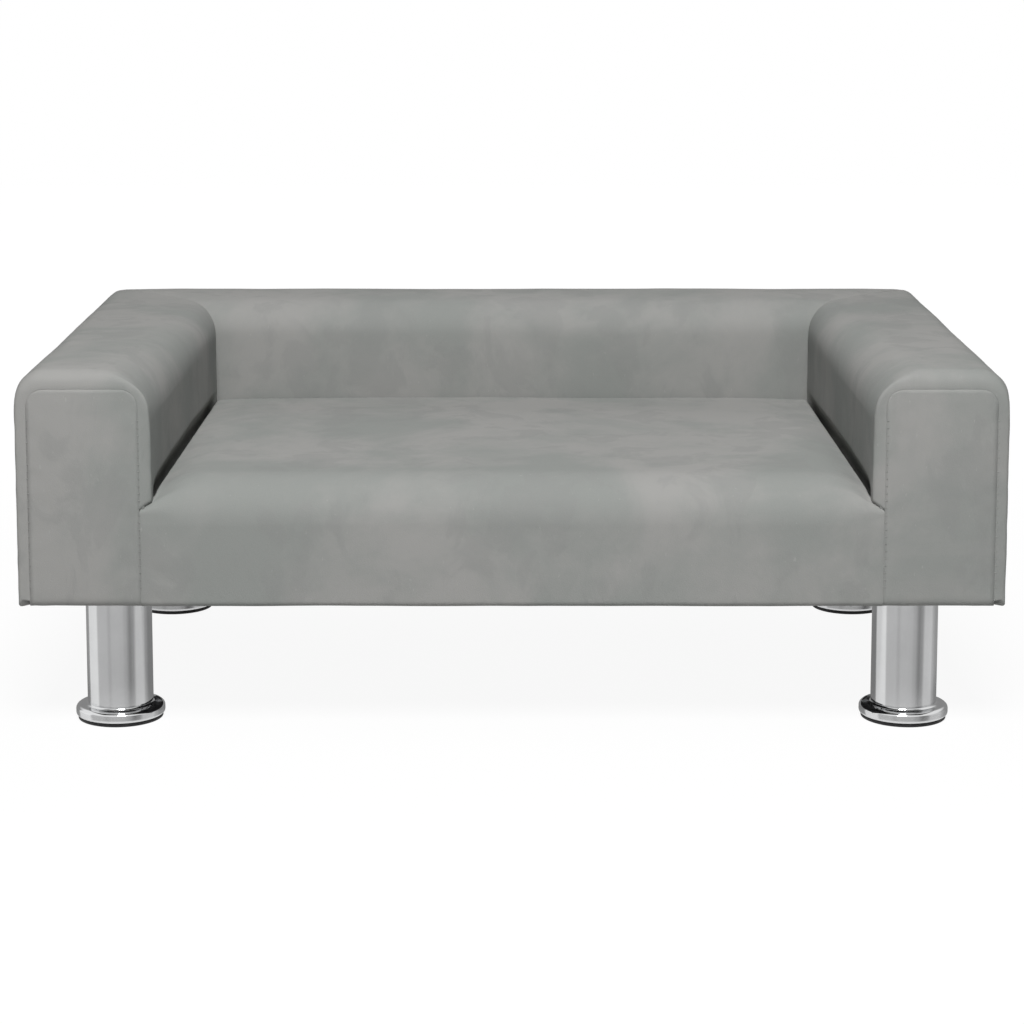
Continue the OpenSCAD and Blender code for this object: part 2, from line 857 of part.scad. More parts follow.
module front_left_leg_plate() { at_leg(-1, -1) leg_plate(); }
module front_left_leg_tube() { at_leg(-1, -1) leg_tube(); }
module front_left_leg_plug() { at_leg(-1, -1) leg_plug(); }
module front_left_foot_flange() { at_leg(-1, -1) foot_flange(); }
module front_left_foot_stud() { at_leg(-1, -1) foot_stud(); }
module front_left_foot_pad() { at_leg(-1, -1) foot_pad(); }
module front_right_leg_plate() { at_leg(1, -1) leg_plate(); }
module front_right_leg_tube() { at_leg(1, -1) leg_tube(); }
module front_right_leg_plug() { at_leg(1, -1) leg_plug(); }
module front_right_foot_flange() { at_leg(1, -1) foot_flange(); }
module front_right_foot_stud() { at_leg(1, -1) foot_stud(); }
module front_right_foot_pad() { at_leg(1, -1) foot_pad(); }
module rear_left_leg_plate() { at_leg(-1, 1) leg_plate(); }
module rear_left_leg_tube() { at_leg(-1, 1) leg_tube(); }
module rear_left_leg_plug() { at_leg(-1, 1) leg_plug(); }
module rear_left_foot_flange() { at_leg(-1, 1) foot_flange(); }
module rear_left_foot_stud() { at_leg(-1, 1) foot_stud(); }
module rear_left_foot_pad() { at_leg(-1, 1) foot_pad(); }
module rear_right_leg_plate() { at_leg(1, 1) leg_plate(); }
module rear_right_leg_tube() { at_leg(1, 1) leg_tube(); }
module rear_right_leg_plug() { at_leg(1, 1) leg_plug(); }
module rear_right_foot_flange() { at_leg(1, 1) foot_flange(); }
module rear_right_foot_stud() { at_leg(1, 1) foot_stud(); }
module rear_right_foot_pad() { at_leg(1, 1) foot_pad(); }

base_board();
dust_cover();
frame_screws();
leg_screws();
seat_rail();
seat_battens();
seat_deck();
seat_foam();
seat_cover();
left_arm_outer_panel();
left_arm_inner_panel();
left_arm_front_panel();
left_arm_top_board();
left_arm_foam();
left_arm_front_foam();
left_arm_cover();
left_arm_front_cover();
right_arm_outer_panel();
right_arm_inner_panel();
right_arm_front_panel();
right_arm_top_board();
right_arm_foam();
right_arm_front_foam();
right_arm_cover();
right_arm_front_cover();
back_front_panel();
back_rear_panel();
back_top_board();
back_foam();
back_cover();
rear_wadding();
rear_cover();
front_left_leg_plate();
front_left_leg_tube();
front_left_leg_plug();
front_left_foot_flange();
front_left_foot_stud();
front_left_foot_pad();
front_right_leg_plate();
front_right_leg_tube();
front_right_leg_plug();
front_right_foot_flange();
front_right_foot_stud();
front_right_foot_pad();
rear_left_leg_plate();
rear_left_leg_tube();
rear_left_leg_plug();
rear_left_foot_flange();
rear_left_foot_stud();
rear_left_foot_pad();
rear_right_leg_plate();
rear_right_leg_tube();
rear_right_leg_plug();
rear_right_foot_flange();
rear_right_foot_stud();
rear_right_foot_pad();
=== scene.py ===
import math

import bmesh
import bpy
from mathutils import Matrix, Vector, noise


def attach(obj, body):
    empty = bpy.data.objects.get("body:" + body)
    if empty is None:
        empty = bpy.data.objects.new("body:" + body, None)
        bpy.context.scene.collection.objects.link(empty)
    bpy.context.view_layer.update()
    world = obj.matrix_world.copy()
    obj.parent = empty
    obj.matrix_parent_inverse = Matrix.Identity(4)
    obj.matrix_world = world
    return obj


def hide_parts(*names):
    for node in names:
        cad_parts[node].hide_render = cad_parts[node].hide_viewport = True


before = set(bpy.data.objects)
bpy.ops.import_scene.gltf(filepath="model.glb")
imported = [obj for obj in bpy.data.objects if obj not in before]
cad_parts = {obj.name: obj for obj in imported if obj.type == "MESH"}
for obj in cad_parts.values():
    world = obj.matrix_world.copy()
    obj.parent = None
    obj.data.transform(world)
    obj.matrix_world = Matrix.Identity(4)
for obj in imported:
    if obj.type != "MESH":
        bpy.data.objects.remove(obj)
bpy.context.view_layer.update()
scene = bpy.context.scene
scene.view_settings.view_transform = "Standard"


# Camera: stands in front of the sofa, a little above it, and leans down by 8 degrees with a small lens shift,
# which frames the sofa as the photograph does.
camera = bpy.data.objects.new("camera", bpy.data.cameras.new("camera"))
camera.data.sensor_width = 36.0
camera.data.lens = 94.55
camera.data.shift_y = -0.2
camera.location = (0.0, -2.0842, 0.5722)
camera.rotation_euler = (math.radians(90.0 - 7.958), 0.0, 0.0)
scene.collection.objects.link(camera)
scene.camera = camera


# Studio: a plain pale floor under a white surround, with a wide soft lamp in front, a weak one overhead and one
# behind. The camera sees both as white, the chrome sees the strips of light that a photographer sets up round
# it, and the floor keeps the sofa's soft shadow.
def ray_share(nodes, links, eye, mirror):
    """Adds up one share for rays from the camera or through glass, and one for rays off a mirror"""
    path = nodes.new("ShaderNodeLightPath")
    total = None
    for ray, amount in (("Is Camera Ray", eye), ("Is Glossy Ray", mirror), ("Is Transmission Ray", eye)):
        share = nodes.new("ShaderNodeMath")
        share.operation = "MULTIPLY_ADD"
        links.new(path.outputs[ray], share.inputs[0])
        share.inputs[1].default_value = amount
        share.inputs[2].default_value = 0.0
        if total:
            links.new(total, share.inputs[2])
        total = share.outputs[0]
    return total


def mixed(nodes, links, share, first, second):
    """Mixes two shaders, by a share that is a socket"""
    mix = nodes.new("ShaderNodeMixShader")
    for number, source in enumerate((share, first, second)):
        links.new(source, mix.inputs[number])
    return mix.outputs[0]


def levels_node(nodes, links, value, low, high, bottom=0.0, top=1.0, kind="SMOOTHSTEP"):
    """Spreads a value between two levels"""
    spread = nodes.new("ShaderNodeMapRange")
    spread.interpolation_type = kind
    for socket, amount in zip(("From Min", "From Max", "To Min", "To Max"), (low, high, bottom, top)):
        spread.inputs[socket].default_value = amount
    links.new(value, spread.inputs["Value"])
    return spread.outputs["Result"]


def blend_node(nodes, links, share, first, second):
    """Mixes two colours, each a socket or a plain colour"""
    mix = nodes.new("ShaderNodeMix")
    mix.data_type = "RGBA"
    for socket, source in ((mix.inputs[0], share), (mix.inputs[6], first), (mix.inputs[7], second)):
        if isinstance(source, bpy.types.NodeSocket):
            links.new(source, socket)
        else:
            socket.default_value = source
    return mix.outputs[2]


def even_light(nodes, strength):
    """A white background of one strength"""
    light = nodes.new("ShaderNodeBackground")
    light.inputs["Color"].default_value = (1.0, 1.0, 1.0, 1.0)
    light.inputs["Strength"].default_value = strength
    return light.outputs[0]


def soft_lamp(name, place, aim, width, height, power):
    """A wide rectangular lamp that points at one place"""
    lamp = bpy.data.objects.new(name, bpy.data.lights.new(name, "AREA"))
    lamp.data.shape = "RECTANGLE"
    lamp.data.size = width
    lamp.data.size_y = height
    lamp.data.energy = power
    lamp.location = place
    lamp.rotation_euler = (Vector(aim) - Vector(place)).to_track_quat("-Z", "Y").to_euler()
    scene.collection.objects.link(lamp)


soft_lamp("front_lamp", (0.0, -1.75, 2.25), (0.0, 0.0, 0.15), 0.8, 0.8, 77.0)
soft_lamp("top_lamp", (0.0, -0.4, 2.4), (0.0, 0.0, 0.2), 0.6, 1.0, 3.0)
soft_lamp("rear_lamp", (0.0, 1.9, 1.5), (0.0, 0.0, 0.15), 1.0, 0.8, 9.0)

world = bpy.data.worlds.new("surround")
world.use_nodes = True
scene.world = world
nodes, links = world.node_tree.nodes, world.node_tree.links
nodes.clear()
fill_light, white = even_light(nodes, 0.05), even_light(nodes, 1.0)
seen = mixed(nodes, links, ray_share(nodes, links, 1.0, 0.0), fill_light, white)

# what the chrome sees: the brightness of the studio at degrees from straight behind the sofa, positive towards
# the left arm's side
strip_levels = [(-180, 0.52), (-164, 0.50), (-152, 0.40), (-135, 0.17), (-125, 0.26), (-110, 0.66), (-82, 0.70),
                (-68, 0.46), (-52, 0.32), (0, 0.28), (52, 0.30), (62, 0.95), (100, 1.00), (110, 0.56), (140, 0.54),
                (152, 0.44), (163, 0.52)]
where = nodes.new("ShaderNodeTexCoord")
axes = nodes.new("ShaderNodeSeparateXYZ")
links.new(where.outputs["Generated"], axes.inputs[0])
bearing = nodes.new("ShaderNodeMath")
bearing.operation = "ARCTAN2"
links.new(axes.outputs["X"], bearing.inputs[0])
links.new(axes.outputs["Y"], bearing.inputs[1])
strips = nodes.new("ShaderNodeValToRGB")
strips.color_ramp.interpolation = "EASE"
for number, (angle, bright) in enumerate(strip_levels):
    share = (angle + 180.0) / 360.0
    stop = strips.color_ramp.elements[number] if number < 2 else strips.color_ramp.elements.new(share)
    stop.position = share
    stop.color = (bright, bright, bright, 1.0)
links.new(levels_node(nodes, links, bearing.outputs[0], math.pi, -math.pi, kind="LINEAR"), strips.inputs[0])
# the ceiling and what lies far below are an even near-white
slope = nodes.new("ShaderNodeMath")
slope.operation = "ABSOLUTE"
links.new(axes.outputs["Z"], slope.inputs[0])
steep = levels_node(nodes, links, slope.outputs[0], 0.34, 0.55, kind="LINEAR")
tent = nodes.new("ShaderNodeBackground")
links.new(blend_node(nodes, links, steep, strips.outputs["Color"], (0.95, 0.95, 0.95, 1.0)), tent.inputs["Color"])
path = nodes.new("ShaderNodeLightPath")
surround = mixed(nodes, links, path.outputs["Is Glossy Ray"], seen, tent.outputs[0])
links.new(surround, nodes.new("ShaderNodeOutputWorld").inputs["Surface"])

floor_paint = bpy.data.materials.new("pale_floor")
floor_paint.use_nodes = True
nodes, links = floor_paint.node_tree.nodes, floor_paint.node_tree.links
paint = nodes["Principled BSDF"]
paint.inputs["Base Color"].default_value = (0.55, 0.55, 0.55, 1.0)
paint.inputs["Roughness"].default_value = 0.9
glow = nodes.new("ShaderNodeEmission")
glow.inputs["Strength"].default_value = 1.06
# the floor turns whiter away from the sofa
where = nodes.new("ShaderNodeTexCoord")
distance = nodes.new("ShaderNodeVectorMath")
distance.operation = "LENGTH"
links.new(where.outputs["Object"], distance.inputs[0])
whiter = nodes.new("ShaderNodeMix")
links.new(levels_node(nodes, links, distance.outputs["Value"], 0.45, 1.3, kind="LINEAR"), whiter.inputs[0])
links.new(ray_share(nodes, links, 0.88, 0.0), whiter.inputs[2])
links.new(ray_share(nodes, links, 0.94, 0.0), whiter.inputs[3])
seen = mixed(nodes, links, whiter.outputs[0], paint.outputs[0], glow.outputs[0])
# it is mostly clear to the chrome, and clear from below, so that the sofa's underside shows
clear = nodes.new("ShaderNodeBsdfTransparent")
seen = mixed(nodes, links, ray_share(nodes, links, 0.0, 0.75), seen, clear.outputs[0])
side = nodes.new("ShaderNodeNewGeometry")
seen = mixed(nodes, links, side.outputs["Backfacing"], seen, clear.outputs[0])
links.new(seen, nodes["Material Output"].inputs["Surface"])

bm = bmesh.new()
bmesh.ops.create_grid(bm, x_segments=2, y_segments=2, size=4.0)
floor_mesh = bpy.data.meshes.new("floor")
bm.to_mesh(floor_mesh)
bm.free()
floor_mesh.materials.append(floor_paint)
floor = bpy.data.objects.new("floor", floor_mesh)
scene.collection.objects.link(floor)


# Velvet: short dense pile in light grey, brushed into soft clouds that lean to green or to neutral grey.
# The pile gives a pale bloom at glancing angles and a fine grain, and carries a few lighter threads.
def new_group(name, **inputs):
    """A finish as an empty node group, with colour, roughness and height as its outputs"""
    group = bpy.data.node_groups.new(name, "ShaderNodeTree")
    for label, start in inputs.items():
        kind = "NodeSocketColor" if hasattr(start, "__len__") else "NodeSocketFloat"
        group.interface.new_socket(label, in_out="INPUT", socket_type=kind).default_value = start
    for label, kind in (("Color", "Color"), ("Roughness", "Float"), ("Height", "Float")):
        group.interface.new_socket(label, in_out="OUTPUT", socket_type=f"NodeSocket{kind}")
    given, result = group.nodes.new("NodeGroupInput"), group.nodes.new("NodeGroupOutput")
    return group, group.nodes, group.links, given, result


def on_object(nodes, links, texture):
    """Lays a texture on the object's own coordinates, in metres"""
    where = nodes.new("ShaderNodeTexCoord")
    links.new(where.outputs["Object"], texture.inputs["Vector"])


def grain_node(nodes, links, scale, detail, rough, warp=0.0, stretch=(1.0, 1.0, 1.0), turn=(0.0, 0.0, 0.0)):
    """Noise over the object's own coordinates"""
    lie = nodes.new("ShaderNodeMapping")
    lie.inputs["Scale"].default_value = stretch
    lie.inputs["Rotation"].default_value = turn
    on_object(nodes, links, lie)
    grain = nodes.new("ShaderNodeTexNoise")
    grain.inputs["Scale"].default_value = scale
    grain.inputs["Detail"].default_value = detail
    grain.inputs["Roughness"].default_value = rough
    grain.inputs["Distortion"].default_value = warp
    links.new(lie.outputs["Vector"], grain.inputs["Vector"])
    return grain.outputs["Fac"]


def sum_node(nodes, links, first, second, weight):
    """first + second * weight"""
    add = nodes.new("ShaderNodeMath")
    add.operation = "MULTIPLY_ADD"
    links.new(second, add.inputs[0])
    add.inputs[1].default_value = weight
    links.new(first, add.inputs[2])
    return add.outputs[0]


pile, nodes, links, given, result = new_group(
    "velvet_pile", Plain=(0.318, 0.316, 0.306, 1.0), Brushed=(0.262, 0.274, 0.262, 1.0),
    Thread=(0.42, 0.42, 0.405, 1.0))
clouds = levels_node(nodes, links, grain_node(nodes, links, 8.0, 5.0, 0.62, 0.3), 0.38, 0.62)
brushed = grain_node(nodes, links, 24.0, 4.0, 0.6, 0.5, (1.0, 1.0, 0.6), (0.3, 0.5, 0.2))
strokes = levels_node(nodes, links, brushed, 0.49, 0.62)
threads = levels_node(nodes, links, grain_node(nodes, links, 420.0, 2.0, 0.6, 0.0, (1.0, 1.0, 0.35)), 0.70, 0.78)
dust = grain_node(nodes, links, 1500.0, 2.0, 0.7)
colour = blend_node(nodes, links, clouds, given.outputs["Plain"], given.outputs["Brushed"])
dim = levels_node(nodes, links, strokes, 0.0, 1.0, 0.0, 0.35)
colour = blend_node(nodes, links, dim, colour, (0.245, 0.250, 0.243, 1.0))
thin = levels_node(nodes, links, threads, 0.0, 1.0, 0.0, 0.30)
colour = blend_node(nodes, links, thin, colour, given.outputs["Thread"])
speck = levels_node(nodes, links, dust, 0.3, 0.7, 0.0, 0.16)
colour = blend_node(nodes, links, speck, colour, (0.34, 0.34, 0.33, 1.0))
links.new(colour, result.inputs["Color"])
links.new(levels_node(nodes, links, clouds, 0.0, 1.0, 0.66, 0.78), result.inputs["Roughness"])
links.new(sum_node(nodes, links, dust, strokes, 0.8), result.inputs["Height"])


def new_material(name, group, bump, distance, constants=(), **values):
    """A material with one finish: the group, with these values, gives its colour, roughness and relief,
    and each constant is set on the shader's own socket"""
    material = bpy.data.materials.new(name)
    material.use_nodes = True
    nodes, links = material.node_tree.nodes, material.node_tree.links
    shader = nodes["Principled BSDF"]
    for socket, amount in constants:
        shader.inputs[socket].default_value = amount
    finish = nodes.new("ShaderNodeGroup")
    finish.node_tree = group
    for socket, amount in values.items():
        finish.inputs[socket].default_value = amount
    relief = nodes.new("ShaderNodeBump")
    relief.inputs["Strength"].default_value = bump
    relief.inputs["Distance"].default_value = distance
    links.new(finish.outputs["Color"], shader.inputs["Base Color"])
    links.new(finish.outputs["Roughness"], shader.inputs["Roughness"])
    links.new(finish.outputs["Height"], relief.inputs["Height"])
    links.new(relief.outputs["Normal"], shader.inputs["Normal"])
    return material


velvet = new_material("velvet", pile, 0.35, 0.0004,
                      (("Sheen Weight", 0.03), ("Sheen Roughness", 0.5), ("Specular IOR Level", 0.0)))


# Arms: a plywood box padded with foam, in one piece of velvet that runs from under the frame over the top
# and down inside. It rolls round the front edge into the front panel's seam and is mitred to the back.
ARM_SIDE, ARM_INNER, ARM_TOP = 0.350, 0.245, 0.267
FACE, REAR = -0.225, 0.225
DECK, UNDERSIDE, HEM = 0.1393, 0.099, 0.0968
# the rolls along the top, and where the inner side's cloth starts to stand on the deck
OUTER_ROLL, INNER_ROLL, DECK_FROM = 0.020, 0.035, -0.2137
# the front edge: how far back its roll goes along the top and how far it drops, its rounding down the sides and at
# the hem, and the cover's flat margin round the front panel at the top and at the sides
ROLL, ROLL_DROP, CORNER, HEM_ROUND = 0.011, 0.0105, 0.0022, 0.005
FLAT_TOP, FLAT_SIDE, WHOLE_INSET = 0.0023, 0.0060, 0.0082
# the panel's seam on the seat's side, and how wide the cover's edge is beside it
INNER_SEAM, SEAM_EDGE = 0.2634, 0.0086
# how far the edge leans back, is drawn back below the roll, and tucks in above the seat, and the top's crown
LEAN, LEAN_DEPTH, DRAWN_DEPTH, TUCK, CROWN = 0.0032, 0.0085, 0.0090, 0.0048, 0.001
# a mitre runs where x, from the middle, is y + MITRE; the arm's last row ends just short of it, and its rows lie
# straight across up to STRAIGHT_TO
MITRE, ARM_END, STRAIGHT_TO = 0.125, 0.1246, -0.100
MITRE_GROOVE = (0.0005, 0.004, 0.0003)


def clamped(value):
    """Keeps a share between 0 and 1"""
    return min(1.0, max(0.0, value))


def arm_face(y):
    """Where the arm's inner side stands: it draws back by 10 mm from the back to the front edge"""
    return ARM_INNER + 0.0098 * clamped((0.120 - y) / 0.345)


def seat_sink(y):
    """How far the seat's sides sink below its middle: most at the front, in the corner of the arm"""
    return 0.0010 + 0.0095 * clamped((0.112 - y) / 0.322) ** 1.6


def quarter_round(ahead, radius):
    """How far in an edge of quarter-round section stands behind its face, as a share of its radius"""
    return 1.0 - math.sqrt(1.0 - max(0.0, 1.0 - ahead / radius) ** 2)


def round_off(bm, vert, radius, steps=8):
    """Rounds one corner of an outline"""
    bmesh.ops.bevel(bm, geom=[vert], offset=radius, offset_type="OFFSET", segments=steps, profile=0.5,
                    affect="VERTICES", material=-1)


def lay_row(bm, corners, radii):
    """Lays one row of cloth through its corners, each but the ends rounded to its radius"""
    known = set(bm.edges)
    verts = [bm.verts.new(corner) for corner in corners]
    for pair in zip(verts, verts[1:]):
        bm.edges.new(pair)
    for vert, radius in zip(verts[1:-1], radii):
        round_off(bm, vert, radius)
    return [edge for edge in bm.edges if edge not in known]


def sew_rows(bm, rows):
    """Joins the rows of cloth one to the next"""
    for first, second in zip(rows, rows[1:]):
        bmesh.ops.bridge_loops(bm, edges=first + second)


def cut_cells(bm, axis, start, stop, spacing):
    """Cuts the cloth into cells along one axis"""
    across = Vector((axis == "x", axis == "y", axis == "z"))
    for step in range(int(round((stop - start) / spacing)) + 1):
        bmesh.ops.bisect_plane(bm, geom=bm.verts[:] + bm.edges[:] + bm.faces[:], dist=1e-6,
                               plane_co=across * (start + step * spacing), plane_no=across)


def round_corner(co, radius=0.007):
    """Moves a point near an upright rear corner on to the corner's rounding"""
    near_side, near_rear = ARM_SIDE - abs(co.x), REAR - co.y
    inside = min(near_side, near_rear)
    left, reach = radius - max(near_side, near_rear), radius - inside
    if reach <= 0.0 or left <= 0.0:
        return
    angle = math.radians(45.0) * left / reach
    along, across = radius - reach * math.sin(angle), radius - reach * math.cos(angle)
    if near_side < near_rear:
        along, across = across, along
    co.x = math.copysign(ARM_SIDE - along, co.x)
    co.y = REAR - across


def face_outward(bm, outward, above=0.0):
    """Turns open cloth so that its faces, judged by those above a level, look outward"""
    bmesh.ops.recalc_face_normals(bm, faces=bm.faces[:])
    judged = [face for face in bm.faces if face.calc_center_median().z > above]
    if sum(face.normal.dot(Vector(outward)) for face in judged) < 0.0:
        bmesh.ops.reverse_faces(bm, faces=bm.faces[:])


def made_of(bm, name, material):
    """Turns the mesh under work into a smooth object of the scene"""
    mesh = bpy.data.meshes.new(name)
    bm.to_mesh(mesh)
    bm.free()
    mesh.materials.append(material)
    for face in mesh.polygons:
        face.use_smooth = True
    piece = bpy.data.objects.new(name, mesh)
    scene.collection.objects.link(piece)
    return piece


def plump(piece, is_held, cap):
    """Presses the cover out like tight cloth over foam, with its seams held, caps how far it moves and evens it"""
    pressure, stiffness, frames, smoothings = 4.0, 20.0, 20, 12
    held = piece.vertex_groups.new(name="held")
    for vert in piece.data.vertices:
        if is_held(vert.co):
            held.add([vert.index], 1.0, "REPLACE")
    cloth = piece.modifiers.new("cloth", "CLOTH")
    cloth.settings.vertex_group_mass = "held"
    cloth.settings.use_pressure = True
    cloth.settings.uniform_pressure_force = pressure
    cloth.settings.effector_weights.gravity = 0.0
    cloth.settings.tension_stiffness = cloth.settings.compression_stiffness = stiffness
    cloth.settings.quality = 4
    for moment in range(1, frames + 1):
        scene.frame_set(moment)
    swollen = piece.evaluated_get(bpy.context.evaluated_depsgraph_get()).data
    moves = []
    for was, now in zip(piece.data.vertices, swollen.vertices):
        move = now.co - was.co
        far = move.length
        moves.append(move * (cap * math.tanh(far / cap) / far) if far > 1e-7 else move * 0.0)
    free = [not is_held(vert.co) for vert in piece.data.vertices]
    ties = [tuple(edge.vertices) for edge in piece.data.edges]
    for _ in range(smoothings):
        sums, counts = [move.copy() for move in moves], [1] * len(moves)
        for first, second in ties:
            sums[first] += moves[second]
            sums[second] += moves[first]
            counts[first] += 1
            counts[second] += 1
        moves = [total / count if loose else move for total, count, loose, move in zip(sums, counts, free, moves)]
    for vert, move in zip(piece.data.vertices, moves):
        vert.co += move
    piece.modifiers.clear()
    piece.vertex_groups.clear()
    scene.frame_set(1)


def subdivided(piece):
    """Gives the cloth one smooth subdivision and applies it"""
    finer = piece.modifiers.new("finer", "SUBSURF")
    finer.levels = finer.render_levels = 1
    bpy.context.view_layer.update()
    mesh = bpy.data.meshes.new_from_object(piece.evaluated_get(bpy.context.evaluated_depsgraph_get()))
    piece.modifiers.clear()
    piece.data = mesh


def dress(piece, seams, seed, fill, *replaced):
    """Works the cloth: slack waves over the foam, its edges drawn into the seams and puckered there. For a point,
    seams gives each seam's distance, the depth and width of its groove, and the height of its puckers"""
    slack_reach, pucker_reach = 0.020, 0.022
    bm = bmesh.new()
    bm.from_mesh(piece.data)
    bm.normal_update()
    for vert, normal in [(v, v.normal.copy()) for v in bm.verts]:
        at = vert.co + Vector((seed * 3.1, seed * 1.7, 0.0))
        slack = min(1.0, min(seam[0] for seam in seams(vert.co)) / slack_reach)
        move = slack * (0.0005 * noise.noise(at * 11.0) + 0.00016 * noise.noise(at * 38.0))
        for distance, depth, width, pucker in seams(vert.co):
            if distance < width:
                move -= depth * (1.0 - distance / width) ** 2
            if pucker and distance < pucker_reach:
                ripple = noise.noise(at * 95.0)
                move += pucker * ripple * (1.0 - distance / pucker_reach) * min(1.0, distance / 0.003)
        vert.co += normal * move
    bm.to_mesh(piece.data)
    bm.free()
    wall = piece.modifiers.new("wall", "SOLIDIFY")
    wall.thickness = 0.0035
    wall.offset = -1.0
    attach(piece, "sofa")
    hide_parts(*replaced)


def arm_sewn(co):
    """Where an arm's cover is held: at the front seam, the mitre and the hem, and behind the seat"""
    return (co.y < FACE + 0.012 or co.y > abs(co.x) - 0.1262 or co.z < 0.105
            or (abs(co.x) < 0.262 and co.z < 0.20))


def arm_seams(co):
    """The arm cover's mitre and its front seam"""
    return ((max(0.0, abs(co.x) - MITRE - co.y) * 0.7071, *MITRE_GROOVE), (co.y - FACE, 0.0, 0.001, 0.0005))


for side_name, way in (("left", -1.0), ("right", 1.0)):
    bm = bmesh.new()
    # rows of cloth across the arm, each by how far it lies behind the face and how far in on the flat margin: four
    # on the margin, nine round the front edge, eight 5 mm apart, and 62 to the rear. The front edge is a soft roll
    # along the top, but almost square down the sides
    places = [(0.0, 1.0 - step / 3.0) for step in range(4)]
    places += [(ROLL * (step / 9.0) ** 1.5, 0.0) for step in range(1, 10)]
    places += [(ROLL + 0.005 * step, 0.0) for step in range(1, 9)]
    places += [(0.051 + 0.399 * step / 62.0, 0.0) for step in range(1, 63)]
    rows = []
    for ahead, flat in places:
        y = FACE + ahead
        top_inset = ROLL_DROP * quarter_round(ahead, ROLL) + FLAT_TOP * flat
        side_inset = CORNER * quarter_round(ahead, CORNER) + FLAT_SIDE * flat
        shrink = side_inset / WHOLE_INSET
        bottom = HEM + HEM_ROUND - math.sqrt(HEM_ROUND ** 2 - max(0.0, HEM_ROUND - ahead) ** 2)
        right, left, top = ARM_SIDE - side_inset, arm_face(y) + side_inset, ARM_TOP - top_inset
        low = bottom if y < DECK_FROM else DECK
        # the cloth ends out of sight, under the frame
        turn = min(1.0, ahead / 0.012)
        hidden = min(right - 0.0008, 0.3405 - 0.0105 * turn)
        corners = [(hidden, y + 0.006 * (1.0 - turn), bottom + 0.0015 + 0.0007 * turn),
                   (right, y, bottom), (right, y, top), (left, y, top), (left, y, low)]
        tight = 0.016 * max(0.0, 1.0 - ahead / ROLL) ** 3 + 0.0063 * flat
        outer = OUTER_ROLL - 0.003 * clamped((y + 0.100) / 0.300) - 0.0073 * shrink
        inner = INNER_ROLL - 0.010 * clamped((y + 0.200) / 0.300) - tight
        rows.append(lay_row(bm, corners, (min(0.002, 0.4 * (right - hidden)), outer, inner)))
    sew_rows(bm, rows)
    # the front edge dives into the seam
    tucked = [edge for edge in rows[0] if all(v.co.y < FACE + 1e-5 for v in edge.verts)]
    for edge in tucked:
        edge.smooth = False
    panel_middle = Vector((0.298, 0.0, 0.18))
    for inset, depth in ((0.0004, 0.0003), (0.0002, 0.0012)):
        grown = bmesh.ops.extrude_edge_only(bm, edges=tucked)["geom"]
        tucked = [g for g in grown if isinstance(g, bmesh.types.BMEdge) and g.is_boundary]
        for vert in {v for edge in tucked for v in edge.verts if v.co.y < FACE + 0.0007}:
            inward = panel_middle - vert.co
            inward.y = 0.0
            vert.co += inward.normalized() * inset + Vector((0.0, depth, 0.0))
    for axis, start, stop, spacing in (("z", 0.108, 0.234, 0.006), ("z", 0.1635, 0.1770, 0.0015),
                                       ("z", 0.1830, 0.2010, 0.0060), ("x", 0.278, 0.326, 0.006)):
        cut_cells(bm, axis, start, stop, spacing)
    for vert in bm.verts:
        co = vert.co
        # the inner front edge leans back from the seam, and the apron laps over its lower part
        if co.x < INNER_SEAM and co.y < FACE + LEAN_DEPTH and co.z < 0.24:
            lean = min(1.0, (0.24 - co.z) / 0.03) * (1.0 - (co.y - FACE) / LEAN_DEPTH)
            co.y += LEAN * lean * (INNER_SEAM - co.x) / SEAM_EDGE
        # below the seat's roll the edge draws back, and the apron's side takes its place
        if co.x < INNER_SEAM and co.y < FACE + DRAWN_DEPTH:
            hem = 0.1666 + 0.0064 * min(1.0, (INNER_SEAM - co.x) / SEAM_EDGE)
            drawn = clamped((hem - co.z) / 0.0015)
            co.y += 0.92 * drawn * (FACE + DRAWN_DEPTH - co.y)
        # the foam tucks back just above the seat, which shades the crease
        if co.x < 0.262 and co.y > FACE + 0.011:
            tuck = clamped((0.197 - seat_sink(co.y) - co.z) / 0.007)
            tuck *= min(1.0, (co.y - FACE - 0.011) / 0.02, (REAR - co.y) / 0.06)
            co.x += TUCK * tuck * tuck * (3.0 - 2.0 * tuck)
        # the top is crowned
        if co.z > 0.25 and 0.270 < co.x < 0.340:
            co.z += CROWN * math.sin(math.pi * (co.x - 0.270) / 0.070) * min(1.0, (co.y - FACE) / 0.03)
        # the rear rows turn into the mitre
        if co.y > STRAIGHT_TO:
            co.y = STRAIGHT_TO + (co.y - STRAIGHT_TO) * (co.x - ARM_END - STRAIGHT_TO) / 0.3254
        round_corner(co)
        co.x *= way
    face_outward(bm, (0.0, 0.0, 1.0), 0.26)
    arm = made_of(bm, f"{side_name}_arm_upholstery", velvet)
    plump(arm, arm_sewn, 0.0010)
    subdivided(arm)
    dress(arm, arm_seams, way, 0.85, f"{side_name}_arm_cover", f"{side_name}_arm_foam")


# Arm front panels: a flat piece of velvet over thin foam, sewn to the arm's cover along both sides and the top
# and wrapped under the frame below. Tight pale stitches hold the seam, and show on its lower half.
PANEL_IN, PANEL_OUT, PANEL_TOP, PANEL_LOW, PANEL_CORNER = 0.2630, 0.3420, 0.2543, 0.0820, 0.0127
WRAP_FROM, WRAP = 0.1018, 0.005


def edge_distance(co):
    """How far a point of the panel is from its sewn edge"""
    sides = min(co.x - PANEL_IN, PANEL_OUT - co.x)
    up = PANEL_TOP - co.z
    if sides < PANEL_CORNER and up < PANEL_CORNER:
        return PANEL_CORNER - math.hypot(PANEL_CORNER - sides, PANEL_CORNER - up)
    return min(sides, up)


